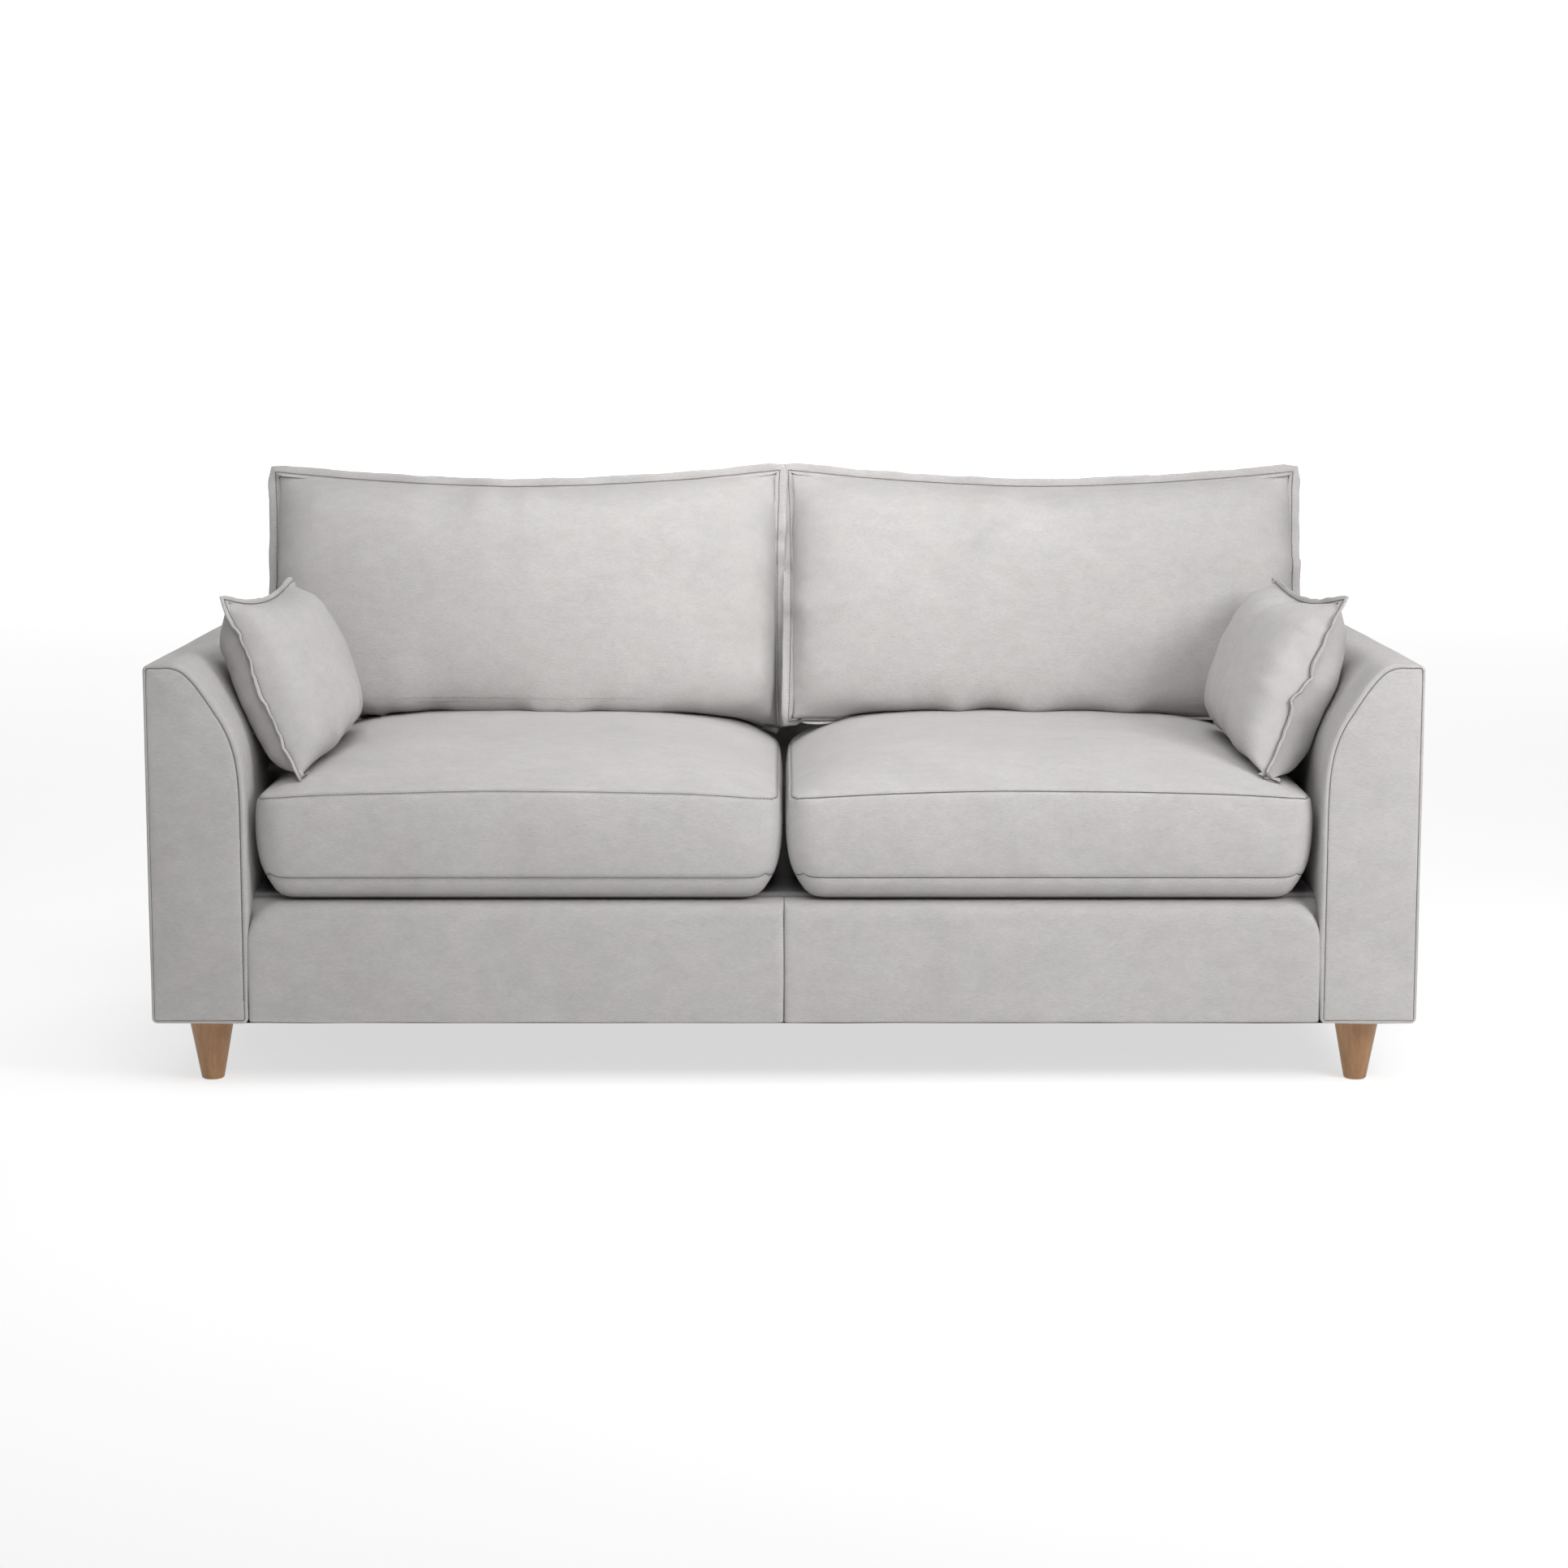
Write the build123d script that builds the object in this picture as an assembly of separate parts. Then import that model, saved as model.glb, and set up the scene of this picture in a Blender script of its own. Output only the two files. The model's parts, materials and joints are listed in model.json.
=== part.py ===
"""Three-seat sofa: timber base and arms, sprung deck, six loose cushions, four turned legs.

Millimetres. +Z is up, -Y is the front, +X is on a sitter's left. Pieces are called left and right
as someone in front of the sofa sees them, so the right ones are on +X.
The origin lies on the floor under the middle of the sofa.
"""
from build123d import *
from math import atan2, cos, degrees, hypot, radians, sin, sqrt, tan
import os

# overall
WIDTH = 2000
DEPTH = 950
ARM_HEIGHT = 670
LEG_HEIGHT = 100
DECK_HEIGHT = 300

# arms
ARM_BASE = 152
ARM_SLOPE_RUN = 94
ARM_SLOPE_RISE = 200
ARM_TOP_ROUND = 40
ARM_SHOULDER_ROUND = 160
ARM_EDGE_ROUND = 9
ARM_FOAM = 24

# base front
FRONT_SETBACK = 3
FRONT_ROUND = 16

# back rest
BACK_BASE = 170
BACK_ABOVE_ARM = 100
BACK_OVER_ARM = 47
BACK_RAKE = 8.5
BACK_FOAM = 25
BACK_TOP_ROUND = 26

# sheet goods and boards
CLOTH = 1.6
UNDERCLOTH = 0.8
WADDING = 6
BOARD = 4
PLY = 18
RAIL = 28
DECK_BUILD = 38
POST_WIDTH = 28
BRACE_DROP = 14
TOP_RAIL_WIDTH = 60

# springs
SPRINGS_PER_SEAT = 5
SPRING_WIRE = 3.8
SPRING_LEG = 44
SPRING_LOOP = 22
SPRING_SIDE_MARGIN = 90
CLIP_LENGTH = 22
CLIP_WIDTH = 14
CLIP_HEIGHT = 6
PAD_LIFT = 7

# webbing of the back
STRAPS = 5
STRAP_WIDTH = 50
STRAP_THICKNESS = 1.2

# legs and their fasteners
LEG_TOP = 70
LEG_BOTTOM = 36
LEG_INSET_X = 85
LEG_INSET_Y = 60
LEG_NECK = 5
LEG_EDGE = 2
BOLT = 8
BOLT_IN_LEG = 42
BLOCK_HEIGHT = 45
BLOCK_LENGTH = 96
NUT_WALL = 1
NUT_BARREL_LENGTH = 12
NUT_RIM = 6
NUT_FLANGE_THICKNESS = 1.5

# seat cushions
SEAT_THICKNESS = 221
SEAT_BOXING = 170
SEAT_END_DROP = 38
SEAT_FRONT_ROLL = 180
SEAT_CORNER = 30
SEAT_SIDE_GAP = 15
SEAT_CENTRE_GAP = 2
SEAT_FRONT_SETBACK = 4

# back cushions
BACK_CUSHION_OVER_ARM = 66
BACK_CUSHION_HEIGHT = 430
BACK_CUSHION_BULGE = 120
BACK_CUSHION_SIDE_BULGE = 190
BACK_CUSHION_LEAN = 14
BACK_CUSHION_CORNER = 28
BACK_FLANGE = 13

# scatter cushions
SCATTER_HEIGHT = 300
SCATTER_BULGE = 75
SCATTER_SIDE_BULGE = 105
SCATTER_CORNER = 20
SCATTER_FRONT = 55
SCATTER_BACK_GAP = 126
SCATTER_FLANGE = 10

# zips
SEAT_ZIP = 600
BACK_ZIP = 420
SCATTER_ZIP = 300
ZIP_TAPE = 1
ZIP_WIDTH = 7
BOXING_ZIP_WIDTH = 24
ZIP_MARGIN = 12
SLIDER = 7
SLIDER_HEIGHT = 3
PULL_LENGTH = 18
PULL_WIDTH = 5
PULL_THICKNESS = 1

# clearances
LAYER_GAP = 0.5
SEAM_GAP = 0.4
REST_GAP = 1.5
BEHIND_GAP = 9
ARM_CLEAR = 6
BOLT_CLEAR = 0.05
SLIDER_CLEAR = 0.4

# places worked out from the sizes above
FRONT = -DEPTH / 2
REAR = DEPTH / 2
WELL = WIDTH / 2 - ARM_BASE
ARM_SLOPE_START = ARM_HEIGHT - ARM_SLOPE_RISE
SLOPE_LENGTH = hypot(ARM_SLOPE_RUN, ARM_SLOPE_RISE)
BACK_FRAME_HEIGHT = ARM_HEIGHT + BACK_ABOVE_ARM
BACK_FRAME_HALF = WELL + BACK_OVER_ARM
RAIL_TOP = DECK_HEIGHT - DECK_BUILD
RAIL_BOTTOM = LEG_HEIGHT + UNDERCLOTH + CLOTH + LAYER_GAP
PANEL_FRONT = FRONT + CLOTH + LAYER_GAP
PANEL_BACK = PANEL_FRONT + PLY
FRONT_RAIL_BACK = PANEL_BACK + RAIL
FOAM_LIP = FRONT_RAIL_BACK + CLIP_WIDTH
INNER_REAR = REAR - CLOTH - LAYER_GAP
REAR_PANEL_FRONT = INNER_REAR - PLY
ARM_FRAME_OUTER = CLOTH + WADDING + BOARD + 2 * LAYER_GAP
ARM_FRAME_INNER = CLOTH + ARM_FOAM + 2 * LAYER_GAP
ARM_FRAME_X0 = WELL + ARM_FRAME_INNER
ARM_FRAME_X1 = WIDTH / 2 - ARM_FRAME_OUTER
ARM_TUCK = ARM_FRAME_X1 - RAIL / 2
DECK_UNDER = DECK_HEIGHT - CLOTH
PAD_BOTTOM = RAIL_TOP + PAD_LIFT
BACK_SKIN = CLOTH + LAYER_GAP
BACK_FRAME_INSET = BACK_SKIN + BACK_FOAM + LAYER_GAP + STRAP_THICKNESS + LAYER_GAP
SEAT_X0 = SEAT_CENTRE_GAP
SEAT_X1 = WELL - SEAT_SIDE_GAP
SEAT_FRONT = FRONT + SEAT_FRONT_SETBACK
SEAT_BOTTOM = DECK_HEIGHT + LAYER_GAP
SEAT_TOP = DECK_HEIGHT + SEAT_THICKNESS
BACK_CUSHION_WIDTH = WELL + BACK_CUSHION_OVER_ARM - SEAT_CENTRE_GAP
NUT_OUTER = BOLT / 2 + NUT_WALL
LEG_X = WIDTH / 2 - LEG_INSET_X
LEG_Y = DEPTH / 2 - LEG_INSET_Y


def back_line(z, inset=0.0):
    """Y of the raked inside face of the back at height z, moved in by inset."""
    slope = radians(BACK_RAKE)
    return REAR - BACK_BASE + (z - DECK_HEIGHT) * tan(slope) + inset / cos(slope)


SEAT_REAR = back_line(DECK_HEIGHT) - BEHIND_GAP


def slope_x(z, inset=0.0):
    """X of the sloping inner shoulder of the right arm at height z, moved in by inset."""
    run = (z - ARM_SLOPE_START) * ARM_SLOPE_RUN + inset * SLOPE_LENGTH
    return WELL + run / ARM_SLOPE_RISE


def shoulder_z(inset):
    """Height where the upright inner face of the arm, moved in by inset, meets the slope."""
    return ARM_SLOPE_START - inset * (SLOPE_LENGTH - ARM_SLOPE_RISE) / ARM_SLOPE_RUN


def less(radius, inset):
    """Radius of a rounded corner after its outline has been moved in by inset."""
    return max(radius - inset, 0)


def prism_y(points, radii, y0, y1):
    """Solid with the closed X-Z outline given, from y0 to y1."""
    outline = FilletPolyline(*points, radius=radii, close=True)
    face = Plane.XZ * make_face(outline)
    return Pos(0, y0, 0) * extrude(face, amount=y1 - y0, dir=(0, 1, 0))


def prism_x(points, radii, x0, x1):
    """Solid with the closed Y-Z outline given, from x0 to x1."""
    outline = FilletPolyline(*points, radius=radii, close=True)
    face = Plane.YZ * make_face(outline)
    return Pos(x0, 0, 0) * extrude(face, amount=x1 - x0, dir=(1, 0, 0))


def block(x0, x1, y0, y1, z0, z1):
    """Box between two corners."""
    middle = Pos((x0 + x1) / 2, (y0 + y1) / 2, (z0 + z1) / 2)
    return middle * Box(abs(x1 - x0), abs(y1 - y0), abs(z1 - z0))


def other_side(piece):
    """The same piece on the left of the sofa."""
    return mirror(piece, about=Plane.YZ)


def both(piece):
    """A piece of the right side together with its twin on the left."""
    return [piece, other_side(piece)]


def arm_block(y0, y1, outer=0.0, inner=0.0, top=0.0, bottom=0.0):
    """Right arm as a solid from y0 to y1, each side of its outline moved in by its own inset."""
    x_out = WIDTH / 2 - outer
    x_in = WELL + inner
    z_top = ARM_HEIGHT - top
    z_low = LEG_HEIGHT + bottom
    points = [
        (x_out, z_low),
        (x_out, z_top),
        (slope_x(z_top, inner), z_top),
        (x_in, shoulder_z(inner)),
        (x_in, z_low),
    ]
    radii = [
        less(ARM_EDGE_ROUND, outer),
        less(ARM_EDGE_ROUND, max(outer, top)),
        less(ARM_TOP_ROUND, max(inner, top)),
        less(ARM_SHOULDER_ROUND, inner),
        less(ARM_EDGE_ROUND, inner),
    ]
    return prism_y(points, radii, y0, y1)


# base frame


def front_rail():
    return block(-ARM_FRAME_X1, ARM_FRAME_X1, PANEL_BACK, FRONT_RAIL_BACK, RAIL_BOTTOM, RAIL_TOP)


def rear_rail():
    rear = back_line(RAIL_TOP, BACK_FRAME_INSET)
    return block(-ARM_FRAME_X0, ARM_FRAME_X0, rear - RAIL, rear, RAIL_BOTTOM, RAIL_TOP)


def side_rails():
    """Two boards under each arm, one below its outer and one below its inner face."""
    rails = []
    for x0 in (ARM_FRAME_X0, ARM_FRAME_X1 - RAIL):
        rails += both(block(x0, x0 + RAIL, FRONT_RAIL_BACK, REAR_PANEL_FRONT, RAIL_BOTTOM, RAIL_TOP))
    return rails


def centre_brace():
    rear = back_line(RAIL_TOP, BACK_FRAME_INSET) - RAIL
    return block(-RAIL / 2, RAIL / 2, FRONT_RAIL_BACK, rear, RAIL_BOTTOM, RAIL_TOP - BRACE_DROP)


def corner_block(front):
    """Block between the side rails that takes one leg bolt."""
    y0 = FRONT_RAIL_BACK if front else REAR_PANEL_FRONT - BLOCK_LENGTH
    top = RAIL_BOTTOM + BLOCK_HEIGHT
    wood = block(ARM_FRAME_X0 + RAIL, ARM_FRAME_X1 - RAIL, y0, y0 + BLOCK_LENGTH, RAIL_BOTTOM, top)
    y = -LEG_Y if front else LEG_Y
    hole = Pos(LEG_X, y, 0) * Cylinder(BOLT / 2 + LAYER_GAP, 2 * top)
    barrel = Pos(LEG_X, y, top) * Cylinder(NUT_OUTER + BOLT_CLEAR, 2 * NUT_BARREL_LENGTH)
    return wood - hole - barrel


def corner_blocks():
    return both(corner_block(True)) + both(corner_block(False))


def spring_places():
    """X of each spring, evenly spread under each seat cushion."""
    first = SEAT_X0 + SPRING_SIDE_MARGIN
    last = SEAT_X1 - SPRING_SIDE_MARGIN
    step = (last - first) / (SPRINGS_PER_SEAT - 1)
    right = [first + step * i for i in range(SPRINGS_PER_SEAT)]
    return [-x for x in reversed(right)] + right


def spring_ends():
    """Y of the first and the last cross wire, over the middle of the front and rear rails."""
    rear = back_line(RAIL_TOP, BACK_FRAME_INSET)
    return FRONT_RAIL_BACK - RAIL / 2, rear - RAIL / 2


def seat_springs():
    """Zigzag springs: cross wires joined by half-circle loops, from the front rail to the rear."""
    y0, y1 = spring_ends()
    loops = 2 * round((y1 - y0) / (2 * 2 * SPRING_LOOP))
    pitch = (y1 - y0) / loops
    half = SPRING_LEG / 2
    edges = []
    for i in range(loops + 1):
        side = half if i % 2 == 0 else -half
        y = y0 + pitch * i
        edges.append(Line((-side, y), (side, y)))
        if i < loops:
            bulge = side + (pitch / 2 if side > 0 else -pitch / 2)
            edges.append(ThreePointArc((side, y), (bulge, y + pitch / 2), (side, y + pitch)))
    path = Wire(edges)
    section = Plane((-half, y0, 0), z_dir=(1, 0, 0)) * Circle(SPRING_WIRE / 2)
    spring = sweep(section, path=path)
    z = RAIL_TOP + SPRING_WIRE / 2 + LAYER_GAP
    return [Pos(x, 0, z) * spring for x in spring_places()]


def spring_clips():
    """Steel clip over the first and last cross wire of each spring, nailed to the rail."""
    z = RAIL_TOP + SPRING_WIRE / 2 + LAYER_GAP
    bore = Rot(0, 90, 0) * Cylinder(SPRING_WIRE / 2 + LAYER_GAP / 2, 2 * CLIP_LENGTH)
    clip = block(
        -CLIP_LENGTH / 2, CLIP_LENGTH / 2, -CLIP_WIDTH / 2, CLIP_WIDTH / 2, RAIL_TOP, RAIL_TOP + CLIP_HEIGHT
    )
    clip -= Pos(0, 0, z) * bore
    return [Pos(x, y, 0) * clip for x in spring_places() for y in spring_ends()]


# deck and border


def front_profile(inset):
    """Y and Z of the front face and the top of the base, moved in by inset."""
    return FRONT + FRONT_SETBACK + inset, DECK_HEIGHT - inset


def front_foam():
    """Foam on the face of the front rail that rolls back over its top."""
    face, top = front_profile(CLOTH + LAYER_GAP)
    points = [
        (face, RAIL_BOTTOM),
        (face, top),
        (FOAM_LIP, top),
        (FOAM_LIP, PAD_BOTTOM),
        (PANEL_BACK - LAYER_GAP, PAD_BOTTOM),
        (PANEL_BACK - LAYER_GAP, RAIL_BOTTOM),
    ]
    radii = [0, less(FRONT_ROUND, CLOTH), 0, 0, 0, 0]
    return prism_x(points, radii, -WELL + LAYER_GAP, WELL - LAYER_GAP)


def front_border():
    """Right-hand cloth panel over the front foam; it meets its twin in the centre seam."""
    face, top = front_profile(0)
    outer = [(face, LEG_HEIGHT), (face, top), (FOAM_LIP, top), (FOAM_LIP, LEG_HEIGHT)]
    face, top = front_profile(CLOTH)
    low, rear = LEG_HEIGHT - CLOTH, FOAM_LIP + CLOTH
    inner = [(face, low), (face, top), (rear, top), (rear, low)]
    x0, x1 = SEAM_GAP / 2, WELL - LAYER_GAP
    skin = prism_x(outer, [0, FRONT_ROUND, 0, 0], x0, x1)
    return skin - prism_x(inner, [0, less(FRONT_ROUND, CLOTH), 0, 0], x0 - CLOTH, x1 + CLOTH)


def deck_pad():
    rear = back_line(PAD_BOTTOM, BACK_FRAME_INSET)
    return block(
        -WELL + LAYER_GAP, WELL - LAYER_GAP, FOAM_LIP + LAYER_GAP, rear, PAD_BOTTOM, DECK_UNDER - LAYER_GAP
    )


def deck_cloth():
    rear = back_line(DECK_HEIGHT, BACK_FOAM)
    return block(
        -WELL + LAYER_GAP, WELL - LAYER_GAP, FOAM_LIP + LAYER_GAP, rear, DECK_UNDER, DECK_HEIGHT
    )


def dust_cover():
    """Thin cloth under the whole base, with a hole for each leg bolt."""
    edge = CLOTH + LAYER_GAP
    front = FRONT + FRONT_SETBACK + edge
    half = ARM_TUCK - LAYER_GAP
    sheet = block(-half, half, front, REAR - edge, LEG_HEIGHT, LEG_HEIGHT + UNDERCLOTH)
    for x in (-LEG_X, LEG_X):
        for y in (-LEG_Y, LEG_Y):
            sheet -= Pos(x, y, LEG_HEIGHT) * Cylinder(BOLT / 2 + LAYER_GAP, 2 * LEG_HEIGHT)
    return sheet


# arms


def arm_panel(y0):
    """Shaped plywood end of an arm, PLY thick."""
    return arm_block(
        y0, y0 + PLY, ARM_FRAME_OUTER, ARM_FRAME_INNER, ARM_FRAME_INNER, RAIL_BOTTOM - LEG_HEIGHT
    )


def arm_front_panels():
    return both(arm_panel(PANEL_FRONT))


def arm_rear_panels():
    return both(arm_panel(REAR_PANEL_FRONT))


def arm_top_rails():
    """Board between the two ends of an arm, just below its padding."""
    top = ARM_HEIGHT - ARM_FRAME_INNER
    x1 = ARM_FRAME_X1
    rail = block(x1 - TOP_RAIL_WIDTH, x1, PANEL_BACK, REAR_PANEL_FRONT, top - RAIL, top)
    room = arm_block(FRONT, REAR, ARM_FRAME_OUTER, ARM_FRAME_INNER, ARM_FRAME_INNER, 0)
    return both(rail & room)


def arm_outer_boards():
    """Stiff board over the open outer side of the arm frame."""
    x0 = ARM_FRAME_X1 + LAYER_GAP
    top = ARM_HEIGHT - ARM_FRAME_INNER
    return both(block(x0, x0 + BOARD, PANEL_FRONT, INNER_REAR, RAIL_BOTTOM, top))


def below_deck_inside(bottom):
    """Space under the deck at the inner side of the arm, where padding and cloth stop."""
    middle = ARM_FRAME_X0 + RAIL
    return block(WELL - ARM_CLEAR, middle, FRONT - 1, REAR + 1, 0, bottom)


def arm_padding():
    """Foam over the inner face and the top of the right arm, thin wadding on its outer face."""
    y0, y1 = PANEL_FRONT, INNER_REAR
    skin = CLOTH + LAYER_GAP
    outside = arm_block(y0, y1, skin, skin, skin, RAIL_BOTTOM - LEG_HEIGHT)
    core_outer = ARM_FRAME_OUTER - BOARD - LAYER_GAP
    core_inner = ARM_FRAME_INNER - LAYER_GAP
    core = arm_block(y0 - 1, y1 + 1, core_outer, core_inner, core_inner, -LEG_HEIGHT / 2)
    return outside - core - below_deck_inside(PAD_BOTTOM)


def arm_cover():
    """Cloth that wraps the right arm from the deck over the top and under the outer rail."""
    y0, y1 = FRONT + CLOTH, REAR - CLOTH
    tube = arm_block(y0, y1) - arm_block(y0 - 1, y1 + 1, CLOTH, CLOTH, CLOTH, CLOTH)
    slot = block(WELL - ARM_CLEAR, ARM_TUCK, y0 - 1, y1 + 1, 0, PAD_BOTTOM)
    return tube - slot


def arm_facing():
    """Flat cloth panel on the front end of the right arm."""
    return arm_block(FRONT, FRONT + CLOTH)


# back rest


def back_block(y1, side, front, top, bottom):
    """Body of the back rest: X-Z outline clear of the arms, raked front face, upright rear."""
    half = BACK_FRAME_HALF - side
    low = WELL - LAYER_GAP - side
    height = BACK_FRAME_HEIGHT - top
    bend = ARM_SLOPE_START
    knee = bend + (half - low) * ARM_SLOPE_RISE / ARM_SLOPE_RUN
    right = [(half, height), (half, knee), (low, bend), (low, bottom)]
    left = [(-x, z) for x, z in reversed(right)]
    corner = less(BACK_TOP_ROUND, max(side, top))
    outline = prism_y(right + left, [corner, 0, 0, 0, 0, 0, 0, corner], 0, y1)
    points = [
        (back_line(bottom, front), bottom),
        (back_line(height, front), height),
        (y1, height),
        (y1, bottom),
    ]
    return outline & prism_x(points, [0, less(BACK_TOP_ROUND, front), 0, 0], -WIDTH / 2, WIDTH / 2)


def back_post(x0, x1):
    """Tapered upright: straight up to the rail, then its front edge follows the rake."""
    knee = back_line(RAIL_TOP, BACK_FRAME_INSET)
    top = BACK_FRAME_HEIGHT - BACK_SKIN - BACK_FOAM - RAIL - LAYER_GAP
    points = [
        (knee, RAIL_BOTTOM),
        (knee, RAIL_TOP),
        (back_line(top, BACK_FRAME_INSET), top),
        (INNER_REAR, top),
        (INNER_REAR, RAIL_BOTTOM),
    ]
    return prism_x(points, [0] * 5, x0, x1)


def post_edge():
    """Outer face of the end posts."""
    return WELL - LAYER_GAP - BACK_SKIN - WADDING - LAYER_GAP


def back_posts():
    edge = post_edge()
    ends = both(back_post(edge - POST_WIDTH, edge))
    return ends + [back_post(-POST_WIDTH / 2, POST_WIDTH / 2)]


def back_top_rail():
    """Board that lies on the three posts and carries the top of the back."""
    top = BACK_FRAME_HEIGHT - BACK_SKIN - BACK_FOAM - LAYER_GAP
    low = top - RAIL
    half = BACK_FRAME_HALF - BACK_SKIN - WADDING - LAYER_GAP
    points = [
        (back_line(low, BACK_FRAME_INSET), low),
        (back_line(top, BACK_FRAME_INSET), top),
        (INNER_REAR, top),
        (INNER_REAR, low),
    ]
    return prism_x(points, [0] * 4, -half, half)


def back_lower_rails():
    """Two boards between the posts just above the deck, for the foot of the webbing."""
    x0, x1 = POST_WIDTH / 2, post_edge() - POST_WIDTH
    low, top = DECK_HEIGHT, DECK_HEIGHT + RAIL * 2
    points = [
        (back_line(low, BACK_FRAME_INSET), low),
        (back_line(top, BACK_FRAME_INSET), top),
        (back_line(top, BACK_FRAME_INSET) + RAIL, top),
        (back_line(low, BACK_FRAME_INSET) + RAIL, low),
    ]
    return both(prism_x(points, [0] * 4, x0, x1))


def back_webbing():
    """Elastic straps stretched from post to post, in the plane of the rake."""
    half = post_edge()
    low = DECK_HEIGHT + STRAP_WIDTH
    high = BACK_FRAME_HEIGHT - BACK_SKIN - BACK_FOAM - RAIL - STRAP_WIDTH
    front = BACK_FRAME_INSET - LAYER_GAP - STRAP_THICKNESS
    straps = []
    for i in range(STRAPS):
        z = low + (high - low) * i / (STRAPS - 1)
        z0, z1 = z - STRAP_WIDTH / 2, z + STRAP_WIDTH / 2
        points = [
            (back_line(z0, front), z0),
            (back_line(z1, front), z1),
            (back_line(z1, front + STRAP_THICKNESS), z1),
            (back_line(z0, front + STRAP_THICKNESS), z0),
        ]
        straps.append(prism_x(points, [0] * 4, -half, half))
    return straps


def back_padding():
    """Foam hood over the front, top and ends of the back frame."""
    low = DECK_HEIGHT + LAYER_GAP
    outside = back_block(INNER_REAR, BACK_SKIN, BACK_SKIN, BACK_SKIN, low)
    side, front = BACK_SKIN + WADDING, BACK_SKIN + BACK_FOAM
    core = back_block(REAR + 1, side, front, front, low - 1)
    return outside - core


def inside_back_cover():
    """Cloth hood over the padding, open below and behind."""
    low = DECK_HEIGHT + LAYER_GAP
    return back_block(REAR - CLOTH, 0, 0, 0, low) - back_block(REAR + 1, CLOTH, CLOTH, CLOTH, low - 1)


def outside_back_cover():
    """Cloth across the whole rear, as wide as the arms and then as the back frame."""
    half, back = WIDTH / 2, BACK_FRAME_HALF
    right = [(back, BACK_FRAME_HEIGHT), (back, ARM_HEIGHT), (half, ARM_HEIGHT), (half, LEG_HEIGHT)]
    left = [(-x, z) for x, z in reversed(right)]
    corner = [BACK_TOP_ROUND, 0, ARM_EDGE_ROUND, ARM_EDGE_ROUND]
    return prism_y(right + left, corner + corner[::-1], REAR - CLOTH, REAR)


# legs


def leg(x, y):
    """Turned leg: straight neck, then a plain taper to a small foot with an eased edge."""
    top, foot = LEG_TOP / 2, LEG_BOTTOM / 2
    outline = Polyline(
        (0, 0),
        (foot - LEG_EDGE, 0),
        (foot, LEG_EDGE),
        (top, LEG_HEIGHT - LEG_NECK),
        (top, LEG_HEIGHT),
        (0, LEG_HEIGHT),
        close=True,
    )
    wood = revolve(Plane.XZ * make_face(outline), axis=Axis.Z)
    hole = Pos(0, 0, LEG_HEIGHT) * Cylinder(BOLT / 2 + BOLT_CLEAR, 2 * BOLT_IN_LEG)
    return Pos(x, y, 0) * (wood - hole)


def leg_places():
    return [(x, y) for x in (-LEG_X, LEG_X) for y in (-LEG_Y, LEG_Y)]


def leg_bolts():
    """Hanger bolt of each leg, up through the corner block into its nut."""
    low = LEG_HEIGHT - BOLT_IN_LEG
    high = RAIL_BOTTOM + BLOCK_HEIGHT + NUT_FLANGE_THICKNESS
    rod = Cylinder(BOLT / 2, high - low)
    return [Pos(x, y, (low + high) / 2) * rod for x, y in leg_places()]


def leg_nuts():
    """Tee nut let into the top of each corner block."""
    top = RAIL_BOTTOM + BLOCK_HEIGHT
    flange = Pos(0, 0, NUT_FLANGE_THICKNESS / 2) * Cylinder(NUT_OUTER + NUT_RIM, NUT_FLANGE_THICKNESS)
    barrel = Pos(0, 0, -NUT_BARREL_LENGTH / 2) * Cylinder(NUT_OUTER, NUT_BARREL_LENGTH)
    nut = flange + barrel - Cylinder(BOLT / 2 + BOLT_CLEAR, 4 * NUT_BARREL_LENGTH)
    return [Pos(x, y, top) * nut for x, y in leg_places()]


# cushions


def seat_block(inset):
    """Right seat cushion, crowned across its width and rolled down at its front."""
    x0, x1 = SEAT_X0 + inset, SEAT_X1 - inset
    y0, y1 = SEAT_FRONT + inset, SEAT_REAR - inset
    low, top = SEAT_BOTTOM + inset, SEAT_TOP - inset
    end = SEAT_TOP - SEAT_END_DROP - inset
    across = (
        Line((x1, end), (x1, low))
        + Line((x1, low), (x0, low))
        + Line((x0, low), (x0, end))
        + ThreePointArc((x0, end), ((x0 + x1) / 2, top), (x1, end))
    )
    width = Pos(0, y0, 0) * extrude(Plane.XZ * make_face(across), amount=y1 - y0, dir=(0, 1, 0))
    nose = DECK_HEIGHT + SEAT_BOXING - inset
    roll = y0 + SEAT_FRONT_ROLL
    along = (
        Line((y0, low), (y0, nose))
        + TangentArc((roll, top), (y0, nose), tangent=(-1, 0), tangent_from_first=False)
        + Line((roll, top), (y1, top))
        + Line((y1, top), (y1, low))
        + Line((y1, low), (y0, low))
    )
    length = Pos(x0, 0, 0) * extrude(Plane.YZ * make_face(along), amount=x1 - x0, dir=(1, 0, 0))
    return fillet((width & length).edges().filter_by(Axis.Z), less(SEAT_CORNER, inset))


def lens(half, bulge, inset, plane, length):
    """Slab of lens section: two arcs over a chord, moved in by inset, along the plane's normal."""
    radius = (half * half + bulge * bulge) / (2 * bulge)
    rise = bulge - inset
    reach = sqrt((radius - inset) ** 2 - (radius - bulge) ** 2)
    outline = ThreePointArc((-reach, 0), (0, rise), (reach, 0))
    outline += ThreePointArc((reach, 0), (0, -rise), (-reach, 0))
    return extrude(plane * make_face(outline), amount=length / 2, both=True)


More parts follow.
